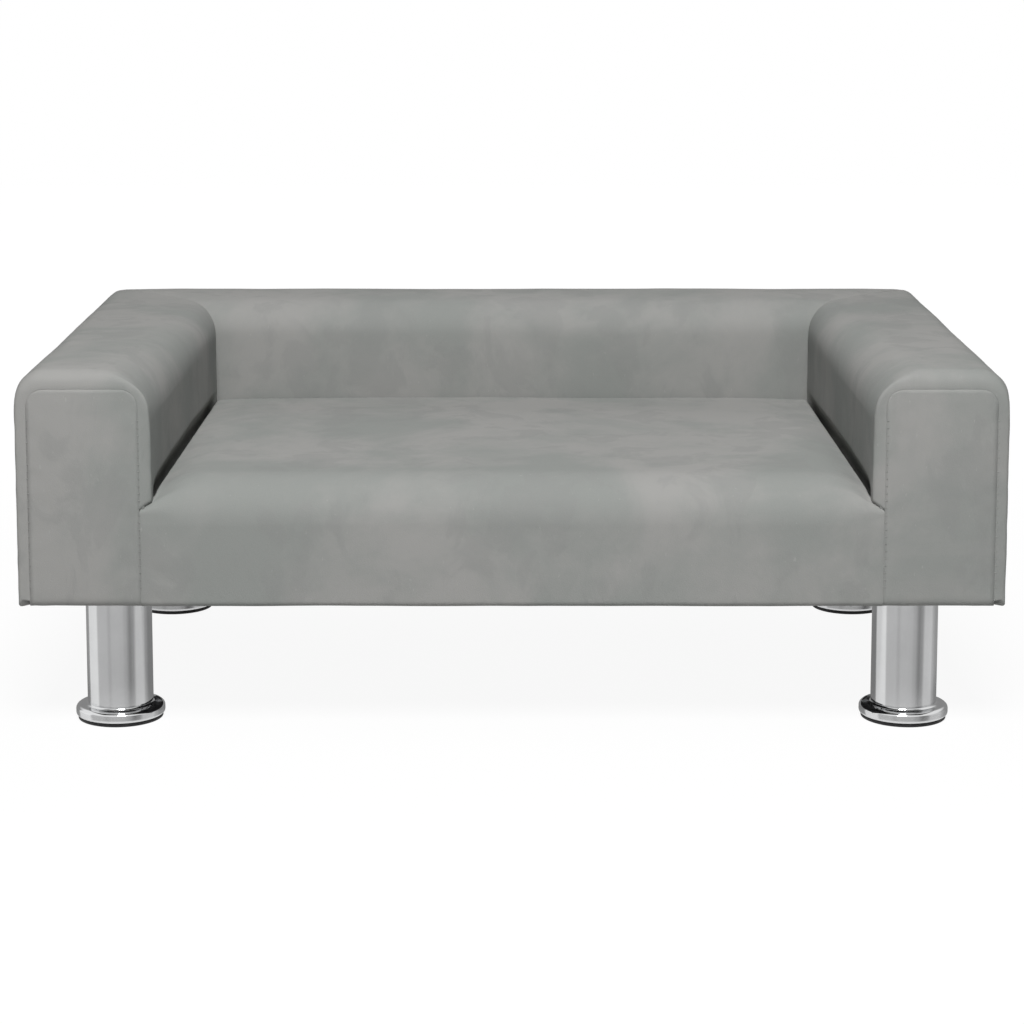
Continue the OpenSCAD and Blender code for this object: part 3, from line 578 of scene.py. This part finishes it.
def panel_sewn(co):
    """Where a panel's cover is held: at both sides, the top and the wrap below"""
    return abs(co.x) < 0.2665 or abs(co.x) > 0.339 or co.z > 0.248 or co.z < 0.103


def panel_seams(co):
    """The seam round a panel"""
    near = min(abs(abs(co.x) - PANEL_IN), abs(PANEL_OUT - abs(co.x)), abs(PANEL_TOP - co.z))
    return ((near, 0.0, 0.001, 0.0005),)


for side_name, way in (("left", -1.0), ("right", 1.0)):
    bm = bmesh.new()
    outline = [bm.verts.new((x, FACE, z)) for x, z in ((PANEL_IN, PANEL_LOW), (PANEL_OUT, PANEL_LOW),
                                                      (PANEL_OUT, PANEL_TOP), (PANEL_IN, PANEL_TOP))]
    bm.faces.new(outline)
    for vert in outline[2:]:
        round_off(bm, vert, PANEL_CORNER)
    for inset in (0.0006, 0.0012, 0.0020):
        bmesh.ops.inset_region(bm, faces=[max(bm.faces, key=lambda face: face.calc_area())], thickness=inset)
    cut_cells(bm, "z", 0.088, 0.248, 0.004)
    cut_cells(bm, "x", 0.270, 0.336, 0.004)
    for vert in bm.verts:
        away = max(0.0, edge_distance(vert.co))
        vert.co.y += 0.0002 * (1.0 - min(1.0, away / 0.0016)) ** 2
        # the panel's lower end wraps under the frame
        below = WRAP_FROM - vert.co.z
        if below > 0.0:
            angle, beyond = min(below / WRAP, math.pi / 2), max(0.0, below - WRAP * math.pi / 2)
            vert.co.y += WRAP * (1.0 - math.cos(angle)) + beyond
            vert.co.z = WRAP_FROM - WRAP * math.sin(angle) + 0.18 * beyond
        vert.co.x *= way
    face_outward(bm, (0.0, -1.0, 0.0))
    panel = made_of(bm, f"{side_name}_arm_front_pad", velvet)
    plump(panel, panel_sewn, 0.0012)
    subdivided(panel)
    dress(panel, panel_seams, way + 5.0, 0.8, f"{side_name}_arm_front_cover", f"{side_name}_arm_front_foam")


# Seat: a thick foam slab on the slatted deck in one velvet cover that rolls over the front edge into the apron
# and turns under the frame. Its sides roll down beside the arms, which leaves a dark crease.
SEAT_TOP, SEAT_REAR, SEAT_ROLL, REAR_TURN, HEM_TURN = 0.190, 0.1197, 0.032, 0.010, 0.005
SIDE_ROLL, SIDE_DROP, SIDE_BACK, REAR_BACK = 0.0035, 0.004, 0.0006, 0.002
# the sides sink and tighten within this reach of the arm, from this height upwards
SINK_REACH, SINK_FROM, TIGHTEN = 0.032, 0.158, 0.0060


def seat_sewn(co):
    """Where the seat's cover is held: beside the arms, behind at the back, and below along the hem"""
    return abs(co.x) > arm_face(co.y) - 0.016 or co.y > 0.108 or co.z < 0.106


def seat_seams(co):
    """Where the seat's cover meets the arms"""
    return ((max(0.0, arm_face(co.y) - abs(co.x)), 0.0, 0.001, 0.0006),)


bm = bmesh.new()
# rows of cloth from front to rear: the left side's roll in steps of its angle, the middle, and the right side's
left_side = [(-1.0, 90, 0.016), (-1.0, 90, 0.008)] + [(-1.0, angle, 0.0) for angle in range(90, 0, -10)]
middle = [(share / 40.0, 0, 0.0) for share in range(-40, 41)]
right_side = [(1.0, angle, 0.0) for angle in range(10, 91, 10)] + [(1.0, 90, 0.008), (1.0, 90, 0.016)]
rows = []
for share, angle, sunk in left_side + middle + right_side:
    rolled = 1.0 - math.cos(math.radians(angle))
    top_drop, front_drop = SIDE_DROP * rolled + sunk, SIDE_BACK * rolled + sunk * 0.5
    front, high = FACE + front_drop, SEAT_TOP - CROWN * share * share - top_drop
    rear = SEAT_REAR - REAR_BACK * rolled
    corners = [(0.0, -0.205, UNDERSIDE), (0.0, front, HEM), (0.0, front, high), (0.0, rear, high), (0.0, rear, DECK)]
    radii = (HEM_TURN, SEAT_ROLL - (top_drop + front_drop) / 2.0, min(REAR_TURN, (high - DECK) * 0.8))
    row = lay_row(bm, corners, radii)
    for co in [vert.co for vert in {v for edge in row for v in edge.verts}]:
        away = clamped((co.y + 0.215) / 0.10) * clamped((0.112 - co.y) / 0.12)
        edge_x = arm_face(co.y) - 0.0002 + 0.0006 * away
        # the apron widens over the arm's drawn-back edge, up to the panel's seam
        if co.y < -0.200:
            edge_x += (0.2633 - edge_x) * clamped((0.1840 - co.z) / 0.0040)
        # the sides sink towards the front, into the corner of the arm
        near_side = max(0.0, 1.0 - edge_x * (1.0 - abs(share)) / SINK_REACH)
        # and their roll is tighter there, which brings it up to the arm's edge
        if co.y < -0.190:
            tighter = clamped((co.z - SINK_FROM) / 0.012) * clamped((SEAT_TOP - co.z) / 0.006)
            co.y = max(co.y - TIGHTEN * near_side ** 2 * tighter, min(co.y, FACE + 0.0004))
        co.z -= seat_sink(co.y) * near_side ** 2 * clamped((co.z - SINK_FROM) / 0.022)
        co.x = share * (edge_x - SIDE_ROLL * (1.0 - math.sin(math.radians(angle))))
    rows.append(row)
sew_rows(bm, rows)
cut_cells(bm, "y", -0.186, 0.108, 0.006)
cut_cells(bm, "z", 0.108, 0.156, 0.006)
face_outward(bm, (0.0, 0.0, 1.0), 0.18)
seat = made_of(bm, "seat_upholstery", velvet)
plump(seat, seat_sewn, 0.0016)
subdivided(seat)
dress(seat, seat_seams, 9.0, 0.8, "seat_cover", "seat_foam")


# Back: foam over a low plywood box, in velvet that rises from the seat, rolls over the top and ends at the rear
# seam. Both ends are mitred into the arms' covers.
BACK_FACE, REAR_SEAM = 0.120, 0.2438
BACK_ROLL, REAR_ROLL = 0.025, 0.017


def back_sewn(co):
    """Where the back's cover is held: at both mitres, behind the seat and at the rear seam"""
    return abs(co.x) > co.y + 0.1235 or co.z < 0.146 or (co.y > 0.22 and co.z < 0.25)


def back_seams(co):
    """The back's mitres and its rear seam"""
    return ((max(0.0, co.y + MITRE - abs(co.x)) * 0.7071, *MITRE_GROOVE),
            (abs(co.z - REAR_SEAM) if co.y > 0.22 else 1.0, 0.0010, 0.003, 0.0003))


bm = bmesh.new()
sew_rows(bm, [lay_row(bm, [(x, BACK_FACE, DECK), (x, BACK_FACE, ARM_TOP), (x, REAR, ARM_TOP), (x, REAR, REAR_SEAM)],
                      (BACK_ROLL, REAR_ROLL)) for x in (-ARM_SIDE, ARM_SIDE)])
cut_cells(bm, "x", -0.343, 0.343, 0.007)
cut_cells(bm, "z", 0.145, 0.235, 0.006)
cut_cells(bm, "y", 0.151, 0.203, 0.0065)
for vert in bm.verts:
    co = vert.co
    # the top is crowned
    if co.z > 0.25 and 0.145 < co.y < 0.215:
        co.z += CROWN * math.sin(math.pi * (co.y - 0.145) / 0.070)
    # the ends reach a little below the arms' covers
    co.x *= (co.y + MITRE + 0.004 * clamped((0.200 - co.y) / 0.03)) / ARM_SIDE
    round_corner(co)
face_outward(bm, (0.0, 0.0, 1.0), 0.26)
back = made_of(bm, "back_upholstery", velvet)
plump(back, back_sewn, 0.0016)
subdivided(back)
dress(back, back_seams, 12.0, 0.85, "back_cover", "back_foam")


# Rear panel: velvet over a layer of wadding, sewn below the back's roll and to both arms' covers at the corners,
# and turned under the frame.
PANEL_SEAM = 0.2436


def rear_sewn(co):
    """Where the rear panel's cover is held: at both corners, the seam and the hem"""
    return abs(co.x) > 0.343 or co.z > 0.240 or co.z < 0.106


def rear_seams(co):
    """The rear panel's corner seams and its seam to the back"""
    return ((max(0.0, ARM_SIDE - abs(co.x)), 0.0012, 0.005, 0.0004), (abs(PANEL_SEAM - co.z), 0.0010, 0.003, 0.0003))


bm = bmesh.new()
sew_rows(bm, [lay_row(bm, [(x, REAR, PANEL_SEAM), (x, REAR, HEM), (x, 0.205, UNDERSIDE)], (HEM_TURN,))
              for x in (-ARM_SIDE, ARM_SIDE)])
cut_cells(bm, "x", -0.343, 0.343, 0.007)
cut_cells(bm, "z", 0.110, 0.238, 0.008)
for vert in bm.verts:
    vert.co.x *= (vert.co.y + 0.1253) / ARM_SIDE
    round_corner(vert.co)
face_outward(bm, (0.0, 1.0, 0.0))
rear = made_of(bm, "rear_upholstery", velvet)
plump(rear, rear_sewn, 0.0010)
subdivided(rear)
dress(rear, rear_seams, 16.0, 0.8, "rear_cover", "rear_wadding")


# Seam thread: one thread ladders across the seam round each arm's front panel, and the lower half of its
# stitches shows as small pale dashes.
twist, nodes, links, given, result = new_group("twisted_thread", Plain=(0.24, 0.245, 0.235, 1.0), Pitch=2600.0)
strands = nodes.new("ShaderNodeTexWave")
strands.inputs["Distortion"].default_value = 1.5
on_object(nodes, links, strands)
links.new(given.outputs["Pitch"], strands.inputs["Scale"])
strand = strands.outputs["Fac"]
links.new(blend_node(nodes, links, strand, given.outputs["Plain"], (0.33, 0.335, 0.32, 1.0)), result.inputs["Color"])
links.new(levels_node(nodes, links, strand, 0.0, 1.0, 0.6, 0.85), result.inputs["Roughness"])
links.new(strand, result.inputs["Height"])
thread = new_material("seam_thread", twist, 0.4, 0.0002, (("Sheen Weight", 0.1),))

STITCHES, STITCH_STEP, STITCH_LONG, THREAD = 24, 0.0052, 0.0022, 0.00035
for side_name, way in (("left", -1.0), ("right", 1.0)):
    bm = bmesh.new()
    for seam_x in (0.2636, 0.3419):
        for number in range(STITCHES):
            known = set(bm.verts)
            bmesh.ops.create_cone(bm, cap_ends=True, segments=6, radius1=THREAD, radius2=THREAD, depth=STITCH_LONG)
            stitch = [vert for vert in bm.verts if vert not in known]
            slant = Matrix.Rotation(math.radians(90.0), 4, "Y") @ Matrix.Rotation(math.radians(24.0), 4, "X")
            place = Matrix.Translation((way * seam_x, FACE + 0.0003, 0.112 + STITCH_STEP * number))
            bmesh.ops.transform(bm, matrix=place @ slant, verts=stitch)
    stitches = made_of(bm, f"{side_name}_arm_seam_stitches", thread)
    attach(stitches, "sofa")


# Dust cover: thin black non-woven cloth stretched below the base board and stapled along its edges, with a
# round cut-out at each leg.
COVER_X, COVER_Y, COVER_Z = 0.338, 0.213, 0.0986
LEG_X, LEG_Y, CUT_OUT = 0.288, 0.163, 0.0385
bonded, nodes, links, given, result = new_group(
    "bonded_fibres", Cloth=(0.014, 0.014, 0.015, 1.0), Fibre=(0.045, 0.045, 0.047, 1.0))
dots = nodes.new("ShaderNodeTexVoronoi")
dots.inputs["Scale"].default_value = 620.0
on_object(nodes, links, dots)
fibres = grain_node(nodes, links, 260.0, 4.0, 0.7, 2.0)
tangle = levels_node(nodes, links, fibres, 0.45, 0.7)
links.new(blend_node(nodes, links, tangle, given.outputs["Cloth"], given.outputs["Fibre"]), result.inputs["Color"])
links.new(levels_node(nodes, links, fibres, 0.3, 0.7, 0.8, 0.95), result.inputs["Roughness"])
links.new(sum_node(nodes, links, fibres, dots.outputs["Distance"], 0.7), result.inputs["Height"])
dust_cloth = new_material("dust_cloth", bonded, 0.5, 0.0003, (("Specular IOR Level", 0.25),))

bm = bmesh.new()
bmesh.ops.create_grid(bm, x_segments=96, y_segments=60, size=1.0)
bmesh.ops.scale(bm, vec=(COVER_X, COVER_Y, 1.0), verts=bm.verts[:])
legs_at = [Vector((x, y, 0.0)) for x in (-LEG_X, LEG_X) for y in (-LEG_Y, LEG_Y)]
at_legs = [face for face in bm.faces if min((face.calc_center_median() - leg).length for leg in legs_at) < 0.0375]
bmesh.ops.delete(bm, geom=at_legs, context="FACES")
for vert in bm.verts:
    nearest = min(legs_at, key=lambda leg: (vert.co - leg).length)
    away = vert.co - nearest
    if vert.is_boundary and away.length < 0.06:
        vert.co = nearest + away.normalized() * CUT_OUT
    edge = min(COVER_X - abs(vert.co.x), COVER_Y - abs(vert.co.y), (vert.co - nearest).length - CUT_OUT)
    slack = clamped(edge / 0.03)
    waves = noise.noise(Vector((vert.co.x * 16.0, vert.co.y * 9.0, 0.0)))
    vert.co.z = COVER_Z - 0.0009 * slack - 0.0006 * slack * waves
bmesh.ops.reverse_faces(bm, faces=bm.faces[:])
dust_cover = made_of(bm, "dust_cover_cloth", dust_cloth)
wall = dust_cover.modifiers.new("wall", "SOLIDIFY")
wall.thickness = 0.0004
wall.offset = -1.0
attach(dust_cover, "sofa")
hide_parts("dust_cover")

rubbed, nodes, links, given, result = new_group(
    "rubbed_metal", Metal=(0.5, 0.51, 0.52, 1.0), Dull=(0.36, 0.37, 0.38, 1.0), Smooth=0.28, Rough=0.45, Scale=60.0)
marks = nodes.new("ShaderNodeTexNoise")
marks.inputs["Detail"].default_value = 5.0
marks.inputs["Roughness"].default_value = 0.65
on_object(nodes, links, marks)
links.new(given.outputs["Scale"], marks.inputs["Scale"])
worn = levels_node(nodes, links, marks.outputs["Fac"], 0.35, 0.7)
links.new(blend_node(nodes, links, worn, given.outputs["Metal"], given.outputs["Dull"]), result.inputs["Color"])
spread = nodes.new("ShaderNodeMapRange")
links.new(worn, spread.inputs["Value"])
links.new(given.outputs["Smooth"], spread.inputs["To Min"])
links.new(given.outputs["Rough"], spread.inputs["To Max"])
links.new(spread.outputs["Result"], result.inputs["Roughness"])
links.new(marks.outputs["Fac"], result.inputs["Height"])
staple_steel = new_material("staple_steel", rubbed, 0.1, 0.0002, (("Metallic", 1.0),))

STAPLE, STAPLE_STEP, STAPLE_INSET, STAPLE_Z = (0.0100, 0.0011, 0.0006), 0.042, 0.006, 0.0983
bm = bmesh.new()
staples_at = [(x * STAPLE_STEP, way * (COVER_Y - STAPLE_INSET), 0.0) for x in range(-7, 8) for way in (-1.0, 1.0)]
staples_at += [(way * (COVER_X - STAPLE_INSET), y * STAPLE_STEP, 90.0) for y in range(-4, 5) for way in (-1.0, 1.0)]
for x, y, turn in staples_at:
    known = set(bm.verts)
    bmesh.ops.create_cube(bm, size=1.0)
    staple = [vert for vert in bm.verts if vert not in known]
    bmesh.ops.scale(bm, vec=STAPLE, verts=staple)
    sides = list({edge for vert in staple for edge in vert.link_edges})
    bmesh.ops.bevel(bm, geom=sides, offset=0.0002, offset_type="OFFSET", segments=1, profile=0.5, affect="EDGES",
                    material=-1)
    staple = [vert for vert in bm.verts if vert not in known]
    slant = math.radians(turn + 12.0 * noise.noise(Vector((x * 40.0, y * 40.0, 0.0))))
    place = Matrix.Translation((x, y, STAPLE_Z)) @ Matrix.Rotation(slant, 4, "Z")
    bmesh.ops.transform(bm, verts=staple, matrix=place)
staples = made_of(bm, "dust_cover_staples", staple_steel)
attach(staples, "sofa")


# Legs: steel tube of 48 mm, polished and chromed, held to the base board by a screwed plate. The lower edge is
# dressed smooth where the foot's flange closes against it.
chrome = new_material("chrome", rubbed, 0.02, 0.0001, (("Metallic", 1.0),), Metal=(0.76, 0.765, 0.77, 1.0),
                      Dull=(0.71, 0.715, 0.72, 1.0), Smooth=0.06, Rough=0.12, Scale=25.0)


def turned_piece(profile, rounds, steps, x, y, closed=True):
    """A turned piece that stands at x, y: its half outline in (radius, height), with its corners rounded, spun"""
    bm = bmesh.new()
    verts = [bm.verts.new((radius, 0.0, height)) for radius, height in profile]
    for pair in zip(verts, verts[1:] + verts[:1] if closed else verts[1:]):
        bm.edges.new(pair)
    for vert, radius in zip(verts, rounds):
        if radius:
            round_off(bm, vert, radius, 6)
    bmesh.ops.spin(bm, geom=bm.verts[:] + bm.edges[:], cent=(0.0, 0.0, 0.0), axis=(0.0, 0.0, 1.0),
                   dvec=(0.0, 0.0, 0.0), angle=math.tau, steps=steps, use_merge=True)
    bmesh.ops.remove_doubles(bm, verts=bm.verts[:], dist=1e-6)
    bmesh.ops.recalc_face_normals(bm, faces=bm.faces[:])
    bmesh.ops.translate(bm, vec=(x, y, 0.0), verts=bm.verts[:])
    return bm


def sharp_edges(piece, angle=35.0):
    """Keeps a machined edge crisp under smooth shading"""
    piece.data.set_sharp_from_angle(angle=math.radians(angle))


TUBE, BORE, TUBE_LOW, TUBE_HIGH = 0.0240, 0.0228, 0.012, 0.0975
legs = [("front_left", -LEG_X, -LEG_Y), ("front_right", LEG_X, -LEG_Y),
        ("rear_left", -LEG_X, LEG_Y), ("rear_right", LEG_X, LEG_Y)]
for leg, x, y in legs:
    bm = turned_piece([(BORE, TUBE_LOW), (TUBE, TUBE_LOW), (TUBE, TUBE_HIGH), (BORE, TUBE_HIGH)],
                      (0.0003, 0.0005, 0.0003, 0.0003), 128, x, y)
    tube = made_of(bm, f"{leg}_chrome_tube", chrome)
    sharp_edges(tube)
    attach(tube, "sofa")
    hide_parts(f"{leg}_leg_tube")


# Feet: a turned and chromed flange on a threaded stud, screwed up into the leg's plug to level the sofa. A black
# plastic pad clips into the flange's recess and stays still on the floor while the foot turns.
zinc = new_material("zinc_plated_steel", rubbed, 0.15, 0.0002, (("Metallic", 1.0),), Metal=(0.46, 0.47, 0.48, 1.0),
                    Dull=(0.33, 0.33, 0.33, 1.0), Smooth=0.3, Rough=0.5, Scale=160.0)
moulded, nodes, links, given, result = new_group(
    "moulded_plastic", Plastic=(0.012, 0.012, 0.013, 1.0), Scuffed=(0.035, 0.035, 0.036, 1.0))
scuffs = levels_node(nodes, links, grain_node(nodes, links, 70.0, 4.0, 0.7, 0.8), 0.5, 0.75)
plastic = blend_node(nodes, links, scuffs, given.outputs["Plastic"], given.outputs["Scuffed"])
links.new(plastic, result.inputs["Color"])
links.new(levels_node(nodes, links, scuffs, 0.0, 1.0, 0.45, 0.65), result.inputs["Roughness"])
links.new(grain_node(nodes, links, 1400.0, 2.0, 0.5), result.inputs["Height"])
black_plastic = new_material("black_plastic", moulded, 0.25, 0.0002, (("Specular IOR Level", 0.4),))

# half outlines in (radius, height): the flange from its bore over the closing face, neck and rim to the recess
# for the pad, and the pad from its clip out to the rim and in again over its three grooves
FLANGE = [(0.0041, 0.0120), (0.0234, 0.0120), (0.0240, 0.0107), (0.0264, 0.0103), (0.0325, 0.0101),
          (0.0325, 0.0025), (0.0085, 0.0025), (0.0085, 0.0060), (0.0041, 0.0060)]
FLANGE_ROUNDS = (0.0, 0.0003, 0.0010, 0.0010, 0.0028, 0.0022, 0.0003, 0.0, 0.0)
GROOVE = ((0.0, 0.0), (0.0003, 0.0005), (0.0012, 0.0005), (0.0015, 0.0))
PAD = [(0.0, 0.0025), (0.00744, 0.0025), (0.00744, 0.0038), (0.00844, 0.0038), (0.00844, 0.0025),
       (0.0310, 0.0025), (0.0310, 0.0)]
PAD += [(radius - step, depth) for radius in (0.0265, 0.0205, 0.0145) for step, depth in GROOVE] + [(0.0, 0.0)]
PAD_ROUNDS = (0.0, 0.0, 0.0003, 0.0003, 0.0, 0.0006, 0.0005)
PITCH, TURNS, AROUND, ROOT, CREST, STUD_LOW, STUD_LONG = 0.0015, 26, 20, 0.0034, 0.0040, 0.0080, 0.0380


def upright_bar(bm, segments, radius, depth, height):
    """Adds a plain round or six-sided bar, with its middle at a height"""
    known = set(bm.verts)
    bmesh.ops.create_cone(bm, cap_ends=True, segments=segments, radius1=radius, radius2=radius, depth=depth)
    bar = [vert for vert in bm.verts if vert not in known]
    bmesh.ops.translate(bm, vec=(0.0, 0.0, height), verts=bar)


for leg, x, y in legs:
    flange = made_of(turned_piece(FLANGE, FLANGE_ROUNDS, 128, x, y), f"{leg}_chrome_flange", chrome)
    sharp_edges(flange, 50.0)
    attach(flange, f"{leg}_foot")
    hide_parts(f"{leg}_foot_flange")

    # the stud: one tooth's outline screwed upwards, cut level at both ends, with its head and neck in the flange
    bm = bmesh.new()
    tooth = [bm.verts.new((radius, 0.0, height)) for radius, height in ((ROOT, 0.0), (CREST, 0.42 * PITCH),
                                                                       (CREST, 0.58 * PITCH), (ROOT, PITCH))]
    for pair in zip(tooth, tooth[1:]):
        bm.edges.new(pair)
    bmesh.ops.spin(bm, geom=bm.verts[:] + bm.edges[:], cent=(0.0, 0.0, 0.0), axis=(0.0, 0.0, 1.0),
                   dvec=(0.0, 0.0, PITCH / AROUND), angle=math.tau * TURNS, steps=AROUND * TURNS, use_merge=False)
    bmesh.ops.remove_doubles(bm, verts=bm.verts[:], dist=2e-5)
    for level, below in ((0.0005, True), (STUD_LONG, False)):
        bmesh.ops.bisect_plane(bm, geom=bm.verts[:] + bm.edges[:] + bm.faces[:], dist=1e-6,
                               plane_co=(0.0, 0.0, level), plane_no=(0.0, 0.0, 1.0), clear_inner=below,
                               clear_outer=not below)
    bmesh.ops.holes_fill(bm, edges=[edge for edge in bm.edges if edge.is_boundary])
    bmesh.ops.translate(bm, vec=(0.0, 0.0, STUD_LOW), verts=bm.verts[:])
    upright_bar(bm, 6, 0.0070, 0.0020, 0.0050)
    upright_bar(bm, 24, 0.0039, 0.0030, 0.0075)
    bmesh.ops.recalc_face_normals(bm, faces=bm.faces[:])
    bmesh.ops.translate(bm, vec=(x, y, 0.0), verts=bm.verts[:])
    stud = made_of(bm, f"{leg}_threaded_stud", zinc)
    sharp_edges(stud)
    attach(stud, f"{leg}_foot")
    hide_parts(f"{leg}_foot_stud")

    pad = made_of(turned_piece(PAD, PAD_ROUNDS, 96, x, y, closed=False), f"{leg}_floor_pad", black_plastic)
    sharp_edges(pad)
    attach(pad, f"{leg}_pad")
    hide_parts(f"{leg}_foot_pad")


# Frame: base board, deck and panels of birch plywood, a softwood rail and battens, and steel plates and screws.
# These stay as the model has them, under their own finishes.
layered, nodes, links, given, result = new_group(
    "layered_wood", Face=(0.64, 0.47, 0.28, 1.0), Grain=(0.50, 0.34, 0.18, 1.0), Layers=0.5)
rings = grain_node(nodes, links, 40.0, 4.0, 0.6, 1.5, (0.12, 1.0, 1.0))
plies = nodes.new("ShaderNodeTexWave")
plies.bands_direction = "Z"
plies.inputs["Scale"].default_value = 105.0
plies.inputs["Distortion"].default_value = 0.3
on_object(nodes, links, plies)
grain = levels_node(nodes, links, rings, 0.35, 0.7)
wood = blend_node(nodes, links, grain, given.outputs["Face"], given.outputs["Grain"])
edge_share = nodes.new("ShaderNodeMath")
edge_share.operation = "MULTIPLY"
links.new(plies.outputs["Fac"], edge_share.inputs[0])
links.new(given.outputs["Layers"], edge_share.inputs[1])
links.new(blend_node(nodes, links, edge_share.outputs[0], wood, (0.44, 0.30, 0.17, 1.0)), result.inputs["Color"])
links.new(levels_node(nodes, links, rings, 0.3, 0.7, 0.55, 0.75), result.inputs["Roughness"])
links.new(rings, result.inputs["Height"])
plywood = new_material("birch_plywood", layered, 0.2, 0.0004)
softwood = new_material("planed_softwood", layered, 0.3, 0.0005, Face=(0.70, 0.52, 0.30, 1.0),
                        Grain=(0.55, 0.34, 0.15, 1.0), Layers=0.0)


def finish_nodes(material, *names):
    """Gives a finish to nodes whose shape stays"""
    for name in names:
        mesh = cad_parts[name].data
        mesh.materials.clear()
        mesh.materials.append(material)


arm_boards = [f"{side}_arm_{part}" for side in ("left", "right")
              for part in ("outer_panel", "inner_panel", "front_panel", "top_board")]
finish_nodes(plywood, "base_board", "seat_deck", "back_front_panel", "back_rear_panel", "back_top_board",
             *arm_boards)
finish_nodes(softwood, "seat_rail", "seat_battens")
finish_nodes(zinc, "frame_screws", "leg_screws", *[f"{leg}_leg_plate" for leg, x, y in legs])
finish_nodes(black_plastic, *[f"{leg}_leg_plug" for leg, x, y in legs])
